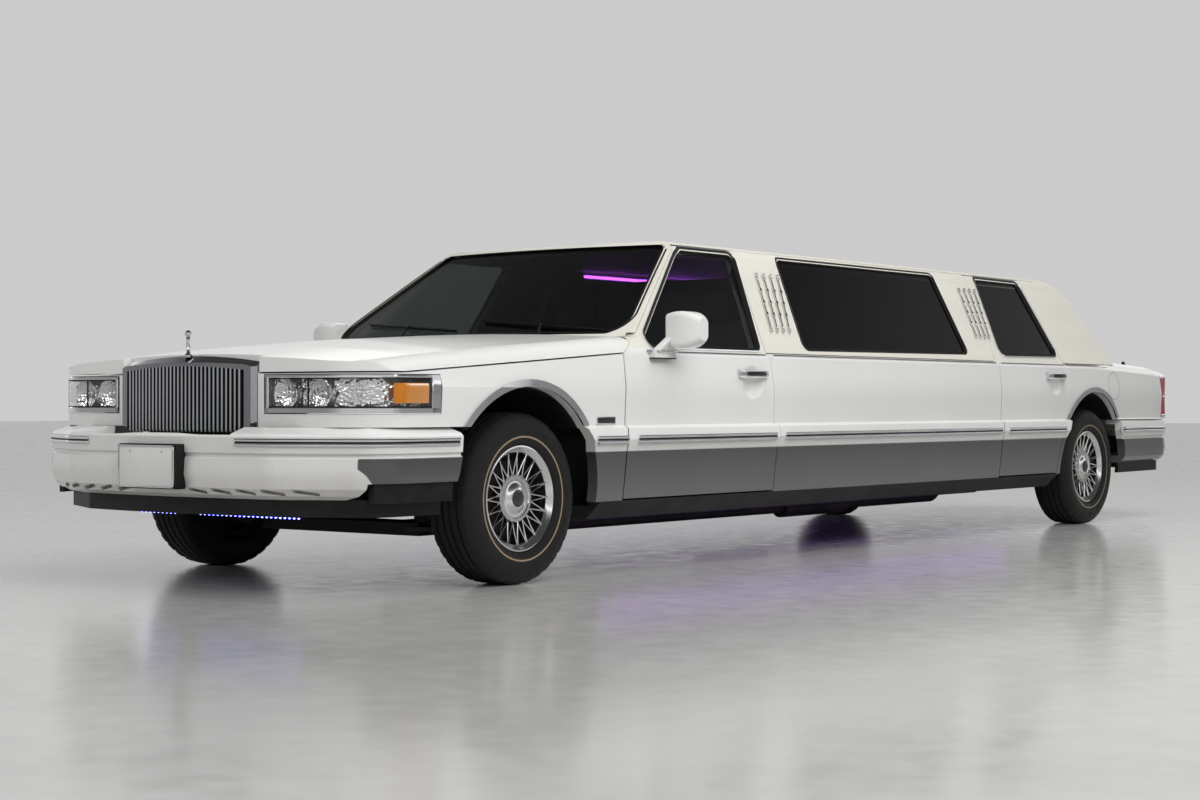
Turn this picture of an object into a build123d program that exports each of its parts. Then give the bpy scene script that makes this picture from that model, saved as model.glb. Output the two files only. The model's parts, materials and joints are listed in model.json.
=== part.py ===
"""A stretch limousine saloon in millimetres.

+X is forward, +Y is left and +Z is up. The origin is on the ground, below the
middle of the whole car. The body is made from two plain solids, the lower body
and the glasshouse, and every panel is cut from one of them or from both.
"""

import os
from math import cos, radians, sin, sqrt

from build123d import *

os.makedirs("parts", exist_ok=True)

# Overall sizes
overall_length = 7719.0
wheelbase = 5141.0
front_overhang = 1100.0
front_axle_x = overall_length / 2 - front_overhang
rear_axle_x = front_axle_x - wheelbase
tail_x = -overall_length / 2

# Wheels and tyres
tyre_radius = 332.0
tyre_width = 224.0
rim_radius = 206.0
rim_bore_radius = 30.0
front_track = 1595.0
rear_track = 1608.0
wheel_z = tyre_radius
arch_radius = 431.0
liner_wall = 6.0
moulding_width = 29.0
moulding_proud = 9.0

# Fits and gaps
seat_gap = 0.3
panel_gap = 7.0
hood_gap = 6.0

# Body heights
sill_bottom = 230.0
panel_bottom = 303.0
door_bottom = panel_bottom + panel_gap
cladding_low_z = 500.0
cladding_mid_z = 552.0
cladding_top_z = 598.0
waist_z = 760.0
belt_z = 925.0

# Walls
fender_wall = 48.0
quarter_wall = 58.0
hood_wall = 28.0
roof_wall = 46.0
glass_depth = 10.0
glass_thickness = 6.0

# Outer skin of the lower body, one row for each station along the car:
# x, half width at the waist, crease height, shoulder height, crown height
body_stations = [
    (-3790.0, 872.0, 842.0, 880.0, 892.0),
    (-3300.0, 915.0, 872.0, 922.0, 934.0),
    (-2640.0, 938.0, 893.0, 946.0, 962.0),
    (-2400.0, 944.0, 898.0, 927.0, 930.0),
    (-1200.0, 950.0, 900.0, 926.0, 928.0),
    (1960.0, 950.0, 900.0, 926.0, 928.0),
    (2004.0, 950.0, 900.0, 972.0, 996.0),
    (2161.0, 948.0, 900.0, 972.0, 996.0),
    (2760.0, 937.0, 858.0, 926.0, 964.0),
    (3300.0, 915.0, 820.0, 880.0, 920.0),
    (3720.0, 882.0, 800.0, 834.0, 870.0),
]
nose_centre_x = 3655.0
nose_corner = (3598.0, 874.0)
nose_corner_radius = 270.0
tail_centre_x = -3772.0
tail_corner = (-3640.0, 872.0)
tail_corner_radius = 180.0

# Glasshouse
glass_side_z = 930.0
glass_side_y = 905.0
glass_side_lean = 0.5
rail_z = 1350.0
roof_edge = (590.0, 1418.0)
roof_crown_z = 1446.0
windshield_radius = 2734.0
windshield_centre_x = 2145.0
windshield_base_z = 1000.0
windshield_run = 600.0
windshield_rise = 390.0
cowl_z = 975.0
cowl_x = 1992.0
house_rear_x = -2730.0

# Doors: hinge axis, round front edge and slant of the cut towards the inside
door_hinge_y = 930.0
door_edge_radius = 70.0
door_slant = 20.0
door_inner_y = 858.0
door_top = 1395.0
front_door_x = 2154.5
rear_door_x = -1195.0
edge_skin_y = 20.0
door_hinge_back = sqrt(door_edge_radius**2 - edge_skin_y**2)
front_hinge_x = front_door_x + door_hinge_back
rear_hinge_x = rear_door_x + door_hinge_back
hinge_heights = (445.0, 765.0)
hinge_pin_radius = 5.0
hinge_ring_radius = 9.0
hinge_arm_depth = 62.0
hinge_arm_wall = 8.0
hinge_arm_height = 30.0
hinge_pocket_height = 50.0

# Hood and trunk lid
hood_hinge_x = 2108.0
hood_hinge_z = 968.0
hood_rear_x = 2190.0
hood_rear_radius = 4154.0
hood_rear_gap = 12.0
lid_hinge_x = -2790.0
lid_hinge_z = 947.0
lid_front_x = lid_hinge_x - 20.0
lid_half_width = 700.0
lid_low_z = 640.0


def save(builder, name):
    """Label a finished piece and write its file."""
    builder.part.label = name
    export_step(builder.part, f"parts/{name}.step")


def box_between(low, high, mode=Mode.ADD):
    """A box from its lowest corner to its highest."""
    size = [b - a for a, b in zip(low, high)]
    centre = [(a + b) / 2 for a, b in zip(low, high)]
    with Locations(tuple(centre)):
        Box(*size, mode=mode)


def prism(points, y_low, y_high, radius=0.0, grow=0.0, slant=0.0, plane_y=None):
    """An outline in side view, as (x, z), made into a solid between two y values.

    With a slant the outline, true at plane_y, moves forward on its way inside.
    """
    at_y = y_high if plane_y is None else plane_y
    direction = (sin(radians(slant)), -cos(radians(slant)), 0)
    with BuildPart() as solid:
        with BuildSketch(Plane.XZ.offset(-at_y)) as outline:
            with BuildLine():
                Polyline(*points, close=True)
            make_face()
            if radius:
                fillet(outline.vertices(), radius)
            if grow:
                offset(amount=grow, kind=Kind.INTERSECTION, mode=Mode.REPLACE)
        face = outline.sketch
        inward = (at_y - y_low) / cos(radians(slant))
        extrude(face, amount=inward, dir=direction)
        if y_high > at_y:
            outward = (y_high - at_y) / cos(radians(slant))
            extrude(face, amount=outward, dir=tuple(-d for d in direction))
    return solid.part


def lower_solid(side_inset=0.0, top_inset=0.0):
    """The lower body as one solid, moved in by the insets, or out where negative."""
    with BuildPart() as solid:
        for x, waist, crease_z, shoulder_z, crown_z in body_stations:
            w = waist - side_inset
            side = [
                (w - 20, panel_bottom),
                (w + 5, cladding_low_z),
                (w + 24, cladding_mid_z),
                (w + 17, cladding_top_z),
                (w - 8, cladding_top_z + 12),
                (w, waist_z),
                (w - 15, crease_z - top_inset),
            ]
            rise = shoulder_z - crease_z
            shoulder = (w - 100, shoulder_z - top_inset)
            bend = (w - 40, crease_z - top_inset + 0.707 * rise)
            with BuildSketch(Plane.YZ.offset(x)):
                with BuildLine():
                    Polyline(*side)
                    ThreePointArc(side[-1], bend, shoulder)
                    ThreePointArc(shoulder, (0, crown_z - top_inset), (-shoulder[0], shoulder[1]))
                    ThreePointArc((-shoulder[0], shoulder[1]), (-bend[0], bend[1]), (-side[-1][0], side[-1][1]))
                    Polyline(*[(-y, z) for y, z in reversed(side)])
                    Line((-side[0][0], side[0][1]), side[0])
                make_face()
        loft(ruled=True)
        nose_x = nose_centre_x - side_inset
        tail_end = tail_centre_x + side_inset
        with BuildSketch() as plan:
            with BuildLine():
                ny = nose_corner[1] - side_inset
                nx = nose_corner[0] - side_inset
                ty = tail_corner[1] - side_inset
                tx = tail_corner[0] + side_inset
                ThreePointArc((nx, -ny), (nose_x, 0), (nx, ny))
                Polyline((nx, ny), (2700, 1040), (-2700, 1040), (tx, ty))
                ThreePointArc((tx, ty), (tail_end, 0), (tx, -ty))
                Polyline((tx, -ty), (-2700, -1040), (2700, -1040), (nx, -ny))
            make_face()
            corners = plan.vertices().filter_by(lambda v: abs(v.Y) < 1000)
            fillet(corners.filter_by(lambda v: v.X > 0), nose_corner_radius - side_inset)
            corners = plan.vertices().filter_by(lambda v: abs(v.Y) < 1000 and v.X < -3600)
            fillet(corners, tail_corner_radius - side_inset)
        extrude(amount=1300, mode=Mode.INTERSECT)
    return solid.part


def glasshouse(inset=0.0):
    """The glasshouse as one solid from below the belt to the roof."""
    low = 700.0
    foot_y = glass_side_y + glass_side_lean * (glass_side_z - low)
    rail_y = glass_side_y - glass_side_lean * (rail_z - glass_side_z)
    bend = (rail_y - 32, (rail_z + roof_edge[1]) / 2 + 12)
    with BuildPart() as solid:
        with BuildSketch(Plane.YZ.offset(-3200)):
            with BuildLine():
                Polyline((foot_y, low), (rail_y, rail_z))
                ThreePointArc((rail_y, rail_z), bend, roof_edge)
                ThreePointArc(roof_edge, (0, roof_crown_z), (-roof_edge[0], roof_edge[1]))
                ThreePointArc((-roof_edge[0], roof_edge[1]), (-bend[0], bend[1]), (-rail_y, rail_z))
                Polyline((-rail_y, rail_z), (-foot_y, low), (foot_y, low))
            make_face()
            if inset:
                offset(amount=-inset, mode=Mode.REPLACE)
        extrude(amount=6000)
        with BuildSketch(Plane.XZ.offset(-1500)):
            with BuildLine():
                Polyline((2500, low), (2500, 1290), (1640, 1386))
                ThreePointArc((1640, 1386), (1330, 1432), (900, 1446))
                ThreePointArc((900, 1446), (-400, 1449), (-1700, 1440))
                ThreePointArc((-1700, 1440), (-2080, 1434), (-2290, 1414))
                ThreePointArc((-2290, 1414), (-2460, 1345), (-2560, 1220))
                Polyline((-2560, 1220), (house_rear_x, belt_z), (house_rear_x - 60, low), (2500, low))
            make_face()
            if inset:
                offset(amount=-inset, mode=Mode.REPLACE)
        extrude(amount=3000, mode=Mode.INTERSECT)
        # The windshield's surface is a circle drawn in plan and swept along its slope
        slope = sqrt(windshield_run**2 + windshield_rise**2)
        back = windshield_run / windshield_rise
        start_x = windshield_centre_x - windshield_radius + (windshield_base_z - low) * back
        with BuildSketch(Plane.XY.offset(low)):
            with Locations((start_x, 0)):
                Circle(windshield_radius - inset * slope / windshield_rise)
        extrude(amount=2 * slope * 1.2, dir=(-windshield_run, 0, windshield_rise), mode=Mode.INTERSECT)
    return solid.part


def hinge_axis(hinge_x):
    """Named places of one left-hand door hinge, seen from above."""
    return hinge_x, door_hinge_y


def pillar_zone(hinge_x, radius):
    """What stays with the pillar: a round edge about the hinge and all ahead of it."""
    x, y = hinge_axis(hinge_x)
    with BuildPart() as zone:
        with Locations((x, y, 700)):
            Cylinder(radius, 1000)
        box_between((x - radius, y - 500, 200), (x + 300, y, 1200))
        box_between((x, y, 200), (x + 300, y + 200, 1200))
    return zone.part


def hinge_pocket(hinge_x):
    """The room that both hinge arms of a left-hand door swing in."""
    x, y = hinge_axis(hinge_x)
    half = hinge_pocket_height / 2
    edge = door_edge_radius - panel_gap
    with BuildPart() as pockets:
        for z in hinge_heights:
            box_between((x - edge, y - 90, z - half), (x + 11, y + 11, z + half))
    return pockets.part


def hinge_pins(hinge_x):
    """The two pins, each held by the pillar above and below its pocket."""
    x, y = hinge_axis(hinge_x)
    with BuildPart() as pins:
        for z in hinge_heights:
            with Locations((x, y, z)):
                Cylinder(hinge_pin_radius, hinge_pocket_height + 4)
    return pins.part


def hinge_arms(hinge_x):
    """The gooseneck arms of a left-hand door, from its pins back to the door."""
    x, y = hinge_axis(hinge_x)
    half_z = hinge_arm_height / 2
    half = hinge_arm_wall / 2
    deep = y - hinge_arm_depth
    with BuildPart() as arms:
        for z in hinge_heights:
            with Locations((x, y, z)):
                Cylinder(hinge_ring_radius, hinge_arm_height)
            box_between((x - half, deep - half, z - half_z), (x + half, y, z + half_z))
            back = x - door_edge_radius - 6
            box_between((back, deep - half, z - half_z), (x + half, deep + half, z + half_z))
            with Locations((x, y, z)):
                Cylinder(hinge_pin_radius + seat_gap, hinge_arm_height, mode=Mode.SUBTRACT)
    return arms.part


# Side outlines, as (x, z), on the outer skin
front_door_low = [
    (front_door_x + 60, door_bottom),
    (front_door_x + 60, 895),
    (front_door_x, 895),
    (2010, 985),
    (1950, 985),
    (1950, 940),
    (1060, 940),
    (1027.5, door_bottom),
]
front_door_high = [(2002, 982), (2040, 890), (1062, 890), (1057.5, 929), (976, door_top), (1437, door_top)]
rear_door_low = [
    (rear_door_x + 60, door_bottom),
    (rear_door_x + 60, 940),
    (-2030, 940),
    (-2030, 644),
    (-1974, 570),
    (-1936, 480),
    (-1912, 380),
    (-1912, door_bottom),
]
rear_door_high = [(-1198, 890), (-1290, door_top), (-1945, door_top), (-2030, 929), (-2030, 890)]
front_window = [(1993, 938), (1660, 1194), (1454, 1352), (1400, 1377), (990, 1377), (1103, 938)]
centre_window = [(707, 945), (619, 1376), (-900, 1376), (-916, 958)]
rear_door_window = [(-1297, 959), (-1392, 1377), (-1900, 1374), (-1986, 966)]


def door_shapes(low, high, hinge_x, grow=0.0):
    """The space of one left-hand door, or of its gap when grown."""
    with BuildPart() as space:
        add(prism(low, 845, 1100, grow=grow, slant=door_slant, plane_y=950))
        # The frame above the belt is cut square to the leaning side
        add(frame_prism(high, grow))
        add(pillar_zone(hinge_x, door_edge_radius - grow), mode=Mode.SUBTRACT)
    return space.part


def frame_prism(points, grow):
    """The door frame's outline on the leaning side plane, cut inwards on a slant."""
    lean = sqrt(1 + glass_side_lean**2)
    base_y = glass_side_y
    tilted = Plane(
        origin=(0, base_y, glass_side_z),
        x_dir=(-1, 0, 0),
        z_dir=(0, 1, glass_side_lean),
    )
    direction = (sin(radians(door_slant)), -cos(radians(door_slant)), 0)
    flat = [(-x, (z - glass_side_z) * lean) for x, z in points]
    with BuildPart() as solid:
        with BuildSketch(tilted) as outline:
            with BuildLine():
                Polyline(*flat, close=True)
            make_face()
            if grow:
                offset(amount=grow, kind=Kind.INTERSECTION, mode=Mode.REPLACE)
        extrude(outline.sketch, amount=100, dir=direction)
        extrude(outline.sketch, amount=60, dir=tuple(-d for d in direction))
    return solid.part


lower_outer = lower_solid()
lower_inner_front = lower_solid(fender_wall, hood_wall)
lower_inner_rear = lower_solid(quarter_wall, hood_wall)
house_outer = glasshouse()
house_inner = glasshouse(roof_wall)
glass_outer = glasshouse(glass_depth)
glass_inner = glasshouse(glass_depth + glass_thickness)

with BuildPart() as house_wall_part:
    add(house_outer)
    add(house_inner, mode=Mode.SUBTRACT)
    box_between((-4000, -1200, 600), (4000, 1200, 890), mode=Mode.SUBTRACT)
house_wall = house_wall_part.part

with BuildPart() as glass_sheet_part:
    add(glass_outer)
    add(glass_inner, mode=Mode.SUBTRACT)
glass_sheet = glass_sheet_part.part

with BuildPart() as cabin_part:
    box_between((-2560, -door_inner_y, 200), (cowl_x, door_inner_y, 1100))
    box_between((cowl_x - 1, -door_inner_y, 200), (2270, door_inner_y, belt_z))
cabin = cabin_part.part

windshield_frame = [(-848, 988), (-640, 1402), (640, 1402), (848, 988)]
rear_window_outline = [(-620, 1010), (-520, 1320), (520, 1320), (620, 1010)]


def face_prism(points, x_low, x_high, radius):
    """An outline seen from the front, as (y, z), made into a solid along x."""
    with BuildPart() as solid:
        with BuildSketch(Plane.YZ.offset(x_low)) as outline:
            with BuildLine():
                Polyline(*points, close=True)
            make_face()
            fillet(outline.vertices(), radius)
        extrude(amount=x_high - x_low)
    return solid.part


windshield_cut = face_prism(windshield_frame, 1380, 2300, 60)
windshield_keep = face_prism([(-854, 982), (-646, 1408), (646, 1408), (854, 982)], 1380, 2300, 64)
window_cuts = {
    "front": prism(front_window, 400, 1100, radius=30),
    "centre": prism(centre_window, 400, 1100, radius=30),
    "rear": prism(rear_door_window, 400, 1100, radius=30),
}
door_table = [
    ("front", front_door_low, front_door_high, front_hinge_x),
    ("rear", rear_door_low, rear_door_high, rear_hinge_x),
]
handle_places = {"front": (1218.0, 829.0), "rear": (-1868.0, 851.0)}
handle_length = 228.0
handle_foot = 26.0
handle_height = 34.0
handle_out_y = 976.0
handle_grip = 16.0
cup_radius = 72.0
cup_depth = 12.0
cup_drop = 25.0
cup_skin_y = 942.0
mirror_foot = ((1832, 912, 886), (1980, 966, 922))
mirror_centre = (1851.0, 1004.0)
# Sections of the mirror's housing: y, length along x, height, corner radius
mirror_sections = [(962, 100, 136, 20), (1100, 86, 122, 24), (1122, 58, 94, 24)]
# Sections of the mirror's leg: z, centre x, centre y, length along x, depth
leg_sections = [(910, 1902, 940, 124, 44), (985, 1856, 984, 80, 38)]


def door_handle(x, z):
    """A pull handle: a bowed grip that stands clear of the door between its two feet."""
    end = handle_length / 2
    inner = end - handle_foot
    outer_end_y = handle_out_y - 20
    inner_end_y = outer_end_y - handle_grip + 6
    with BuildPart() as grip:
        with BuildSketch(Plane.XY.offset(z - handle_height / 2)):
            with BuildLine():
                Polyline((x - end, outer_end_y), (x - end, 925), (x - inner, 925), (x - inner, inner_end_y))
                ThreePointArc((x - inner, inner_end_y), (x, handle_out_y - handle_grip), (x + inner, inner_end_y))
                Polyline((x + inner, inner_end_y), (x + inner, 925), (x + end, 925), (x + end, outer_end_y))
                ThreePointArc((x + end, outer_end_y), (x, handle_out_y), (x - end, outer_end_y))
            make_face()
        extrude(amount=handle_height)
    return grip.part


def handle_cup(x, z):
    """The ball that presses the finger room into the skin behind a handle."""
    ball = (cup_radius**2 + cup_depth**2) / (2 * cup_depth)
    with BuildPart() as cup:
        with Locations((x, cup_skin_y + ball - cup_depth, z - cup_drop)):
            Sphere(ball)
        box_between((x - 200, 900, z - 200), (x + 200, 1000, z + 100), mode=Mode.INTERSECT)
    return cup.part


def door_mirror():
    """The left mirror: a foot on the door's front corner, a leaning leg and a rounded housing."""
    with BuildPart() as housing:
        for y, length, height, radius in mirror_sections:
            with BuildSketch(Plane.XZ.offset(-y)):
                with Locations(mirror_centre):
                    RectangleRounded(length, height, radius)
        loft()
        with BuildPart(mode=Mode.PRIVATE) as leg:
            for z, x, y, length, depth in leg_sections:
                with BuildSketch(Plane.XY.offset(z)):
                    with Locations((x, y)):
                        RectangleRounded(length, depth, 14)
            loft()
        add(leg.part)
        box_between(*mirror_foot)
    return housing.part


door_gaps = []
hinge_pockets = []
hinge_pin_sets = {}
for row, low, high, hinge_x in door_table:
    space = door_shapes(low, high, hinge_x)
    door_gaps.append(door_shapes(low, high, hinge_x, grow=panel_gap))
    hinge_pockets.append(hinge_pocket(hinge_x))
    hinge_pin_sets[row] = hinge_pins(hinge_x)
    with BuildPart() as left_door:
        add(lower_outer)
        add(cabin, mode=Mode.SUBTRACT)
        box_between((-4000, -1200, 0), (4000, 840, 2000), mode=Mode.SUBTRACT)
        add(prism(low, 845, 1100, slant=door_slant, plane_y=950), mode=Mode.INTERSECT)
    with BuildPart() as left_frame:
        add(house_wall)
        add(frame_prism(high, 0), mode=Mode.INTERSECT)
        box_between((-4000, 0, 600), (4000, door_inner_y, belt_z), mode=Mode.SUBTRACT)
    with BuildPart() as door:
        add(left_door.part)
        add(left_frame.part)
        add(pillar_zone(hinge_x, door_edge_radius), mode=Mode.SUBTRACT)
        add(windshield_keep, mode=Mode.SUBTRACT)
        add(window_cuts[row], mode=Mode.SUBTRACT)
        add(hinge_arms(hinge_x))
        add(handle_cup(*handle_places[row]), mode=Mode.SUBTRACT)
        add(door_handle(*handle_places[row]))
        if row == "front":
            add(door_mirror())
    with BuildPart() as glass:
        add(glass_sheet)
        add(window_cuts[row], mode=Mode.INTERSECT)
    save(door, f"{row}_door_left")
    save(glass, f"{row}_door_glass_left")
    with BuildPart() as door_right:
        mirror(door.part, about=Plane.XZ)
    with BuildPart() as glass_right:
        mirror(glass.part, about=Plane.XZ)
    save(door_right, f"{row}_door_right")
    save(glass_right, f"{row}_door_glass_right")
    print(row, "door solids", len(door.solids()), len(glass.solids()))

with BuildPart() as door_cut_part:
    for gap in door_gaps:
        add(gap)
    mirror(about=Plane.XZ)
door_cut = door_cut_part.part
with BuildPart() as pocket_cut_part:
    for pocket in hinge_pockets:
        add(pocket)
    mirror(about=Plane.XZ)
pocket_cut = pocket_cut_part.part

with BuildPart() as wheel_wells:
    for axle_x in (front_axle_x, rear_axle_x):
        for side in (-1, 1):
            with Locations(Location((axle_x, side * 800, wheel_z), (90, 0, 0))):
                Cylinder(arch_radius, 620)
wells = wheel_wells.part

# Roof: the padded top with its pillars
rear_window_cut = face_prism(rear_window_outline, -2850, -2300, 60)
with BuildPart() as centre_cuts:
    add(window_cuts["centre"])
    mirror(about=Plane.XZ)
with BuildPart() as roof:
    add(house_outer)
    add(house_inner, mode=Mode.SUBTRACT)
    box_between((-4000, -1200, 600), (4000, 1200, belt_z), mode=Mode.SUBTRACT)
    box_between((cowl_x, -1200, 600), (4000, 1200, cowl_z), mode=Mode.SUBTRACT)
    add(door_cut, mode=Mode.SUBTRACT)
    add(windshield_cut, mode=Mode.SUBTRACT)
    add(rear_window_cut, mode=Mode.SUBTRACT)
    add(centre_cuts.part, mode=Mode.SUBTRACT)
save(roof, "roof")
print("roof solids", len(roof.solids()))
with BuildPart() as windshield:
    add(glass_sheet)
    add(windshield_cut, mode=Mode.INTERSECT)
save(windshield, "windshield")
with BuildPart() as rear_window:
    add(glass_sheet)
    add(rear_window_cut, mode=Mode.INTERSECT)
save(rear_window, "rear_window")
with BuildPart() as side_windows:
    add(glass_sheet)
    add(centre_cuts.part, mode=Mode.INTERSECT)
save(side_windows, "side_windows")

# Centre side panels
with BuildPart() as centre_side_panels:
    add(lower_outer)
    box_between((-1400, -1200, 200), (1150, 1200, belt_z), mode=Mode.INTERSECT)
    add(cabin, mode=Mode.SUBTRACT)
    add(door_cut, mode=Mode.SUBTRACT)
    add(pocket_cut, mode=Mode.SUBTRACT)
    add(hinge_pin_sets["rear"])
    mirror(hinge_pin_sets["rear"], about=Plane.XZ)
save(centre_side_panels, "centre_side_panels")
print("centre panels", len(centre_side_panels.solids()))

# Front: fenders, hood, cowl, grille, lamps and bumper
hood_split = [(2161, 900), (3408, 810), (3900, 806)]
bumper_top = 612.0
bumper_back_x = 3157.0
lamp_low = 660.0
lamp_top = 806.0
lamp_inner_y = 404.0
lamp_side_x = 3240.0
lens_wall = 6.0
lamp_back = 40.0
grille_half = 373.0
grille_low = 590.0
grille_top = 853.0
grille_face_x = 3690.0
grille_back_x = 3612.0
grille_crown = 24.0
ornament_x = 3650.0


def above_split(shift):
    """Everything above the hood's lower edge, moved up by the shift."""
    lifted = [(x, z + shift) for x, z in hood_split]
    return prism(lifted + [(3900, 1300), (1900, 1300), (1900, 900 + shift)], -1200, 1200)


def hood_round(radius_change):
    """Everything behind the hood's curved rear edge."""
    with BuildPart() as solid:
        with Locations((hood_rear_x - hood_rear_radius, 0, 900)):
            Cylinder(hood_rear_radius + radius_change, 1400)
        box_between((1900, -1200, 200), (4000, 1200, 1600), mode=Mode.INTERSECT)
    return solid.part


def lamp_space(shrink):
    """The space of both headlamps, wrapped round the corners of the nose."""
    low = lamp_low + shrink
    top = lamp_top - shrink
    with BuildPart() as solid:
        box_between((lamp_side_x + shrink, lamp_inner_y + shrink, low), (3900, 1200, top))
        mirror(about=Plane.XZ)
    return solid.part


def lid_arm(x, y, z, reach, ring):
    """A flat hinge arm across y: a ring round the pin and a bar along x."""
    tip = x + reach
    low, high = min(x, tip), max(x, tip)
    with BuildPart() as arm:
        with Locations(Location((x, y, z), (90, 0, 0))):
            Cylinder(ring, lid_arm_wall)
        box_between((low, y - lid_arm_wall / 2, z - 7), (high, y + lid_arm_wall / 2, z + 5))
        with Locations(Location((x, y, z), (90, 0, 0))):
            Cylinder(lid_pin_radius + seat_gap, 2 * lid_arm_wall, mode=Mode.SUBTRACT)
    return arm.part


def lid_pin(x, y, z):
    """The pin of one lid hinge, held on both sides of its slot."""
    with BuildPart() as pin:
        with Locations(Location((x, y, z), (90, 0, 0))):
            Cylinder(lid_pin_radius, 22)
    return pin.part


lid_arm_wall = 8.0
lid_pin_radius = 4.0
hood_arm_y = 690.0
hood_arm_reach = 42.0
trunk_arm_y = 450.0
behind_hood = hood_round(-hood_rear_gap)

# The door's slanted top edge goes on below the hood's rear corners, where they are cut back alike
corner_high = (2010.0, 985.0)
corner_low = (front_door_x, 895.0)
corner_slope = (corner_high[1] - corner_low[1]) / (corner_low[0] - corner_high[0])
corner_end_x = corner_low[0] + 56
corner_line = [
    corner_high, (corner_end_x, corner_low[1] - 56 * corner_slope), (corner_end_x, 780), (corner_high[0], 780),
]
corner_shift = (950 - 845) * sin(radians(door_slant)) / cos(radians(door_slant))
with BuildPart() as hood_corners:
    add(prism(corner_line, 845, 950, grow=panel_gap, slant=door_slant, plane_y=950))
    box_between((1900, 0, 700), (2400, 890, 1100), mode=Mode.INTERSECT)
    add(prism([(x + corner_shift, z) for x, z in corner_line], 735, 846, grow=panel_gap))
    mirror(about=Plane.XZ)

with BuildPart() as hood:
    add(lower_outer)
    add(above_split(hood_gap), mode=Mode.INTERSECT)
    add(lower_inner_front, mode=Mode.SUBTRACT)
    add(hood_round(0), mode=Mode.SUBTRACT)
    add(door_cut, mode=Mode.SUBTRACT)
    add(hood_corners.part, mode=Mode.SUBTRACT)
    box_between((grille_back_x - 12, -grille_half - 8, 500), (3900, grille_half + 8, 1000), mode=Mode.SUBTRACT)
    for side in (1, -1):
        add(lid_arm(hood_hinge_x, side * hood_arm_y, hood_hinge_z, hood_arm_reach, 9))
print("hood solids", len(hood.solids()))

with BuildPart() as cowl:
    add(lower_outer)
    add(behind_hood, mode=Mode.INTERSECT)
    box_between((cowl_x, -1200, belt_z), (2300, 1200, 1100), mode=Mode.INTERSECT)
    add(house_outer, mode=Mode.SUBTRACT)
    add(door_cut, mode=Mode.SUBTRACT)
    for side in (1, -1):
        y = side * hood_arm_y
        box_between((hood_hinge_x - 12, y - 7, 900), (hood_hinge_x + 60, y + 7, 1100), mode=Mode.SUBTRACT)
        add(lid_pin(hood_hinge_x, y, hood_hinge_z))
print("cowl solids", len(cowl.solids()))

with BuildPart() as front_fenders:
    add(lower_outer)
    box_between((2080, -1200, 200), (4000, 1200, 1300), mode=Mode.INTERSECT)
    add(above_split(0), mode=Mode.SUBTRACT)
    add(cabin, mode=Mode.SUBTRACT)
    with BuildPart(mode=Mode.PRIVATE) as bay:
        add(lower_inner_front)
        box_between((2270, -1200, 200), (4000, 1200, 1300), mode=Mode.INTERSECT)
    add(bay.part, mode=Mode.SUBTRACT)
    add(door_cut, mode=Mode.SUBTRACT)
    add(pocket_cut, mode=Mode.SUBTRACT)
    add(wells, mode=Mode.SUBTRACT)
    box_between((front_axle_x, -1200, 200), (4000, 1200, bumper_top + seat_gap), mode=Mode.SUBTRACT)
    add(lamp_space(0), mode=Mode.SUBTRACT)
    box_between((3400, -grille_half, 500), (3900, grille_half, 1000), mode=Mode.SUBTRACT)
    add(hinge_pin_sets["front"])
    mirror(hinge_pin_sets["front"], about=Plane.XZ)
save(front_fenders, "front_fenders")
print("fender solids", len(front_fenders.solids()), [round(s.volume) for s in front_fenders.solids()])
save(hood, "hood")
save(cowl, "cowl")

with BuildPart() as headlamps:
    # A lens with side walls, open at the back where its housing closes it
    add(lower_outer)
    add(lower_inner_front, mode=Mode.SUBTRACT)
    add(lamp_space(seat_gap), mode=Mode.INTERSECT)
    with BuildPart(mode=Mode.PRIVATE) as lamp_room:
        add(lower_solid(lens_wall, lens_wall))
        add(lamp_space(seat_gap + lens_wall), mode=Mode.INTERSECT)
    add(lamp_room.part, mode=Mode.SUBTRACT)
save(headlamps, "headlamps")
with BuildPart() as lamp_housings:
    add(lower_solid(lamp_back, lamp_back))
    add(lower_inner_front, mode=Mode.SUBTRACT)
    add(lamp_space(2 * seat_gap + lens_wall), mode=Mode.INTERSECT)
save(lamp_housings, "lamp_housings")
print("lamp solids", len(headlamps.solids()), len(lamp_housings.solids()))

# Rear: quarters, deck, tail and lid
lamp_rear_low = 613.0
lamp_rear_top = 867.0
lamp_rear_side_x = -3470.0
lamp_rear_inner_y = 705.0
rear_bumper_top = 600.0


def lid_space(grow):
    """The trunk lid's opening: the deck behind its hinge and the tail down to the bumper."""
    half = lid_half_width + grow
    with BuildPart() as solid:
        box_between((-4000, -half, lid_low_z - grow), (-3600, half, 1200))
        box_between((-4000, -half, 780), (lid_front_x + grow, half, 1200))
    return solid.part


with BuildPart() as trunk_lid:
    add(lower_outer)
    add(lower_inner_rear, mode=Mode.SUBTRACT)
    add(lid_space(0), mode=Mode.INTERSECT)
    for side in (1, -1):
        add(lid_arm(lid_hinge_x, side * trunk_arm_y, lid_hinge_z, -34, 7))
save(trunk_lid, "trunk_lid")
print("lid solids", len(trunk_lid.solids()))

with BuildPart() as rear_lamp_space:
    box_between((-4000, lamp_rear_inner_y + 4, lamp_rear_low), (lamp_rear_side_x, 1200, lamp_rear_top))
    mirror(about=Plane.XZ)
with BuildPart() as taillamps:
    add(lower_outer)
    add(lower_inner_rear, mode=Mode.SUBTRACT)
    add(rear_lamp_space.part, mode=Mode.INTERSECT)
save(taillamps, "taillamps")

with BuildPart() as house_above_belt:
    add(house_outer)
    box_between((-4000, -1200, belt_z), (4000, 1200, 2000), mode=Mode.INTERSECT)

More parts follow.
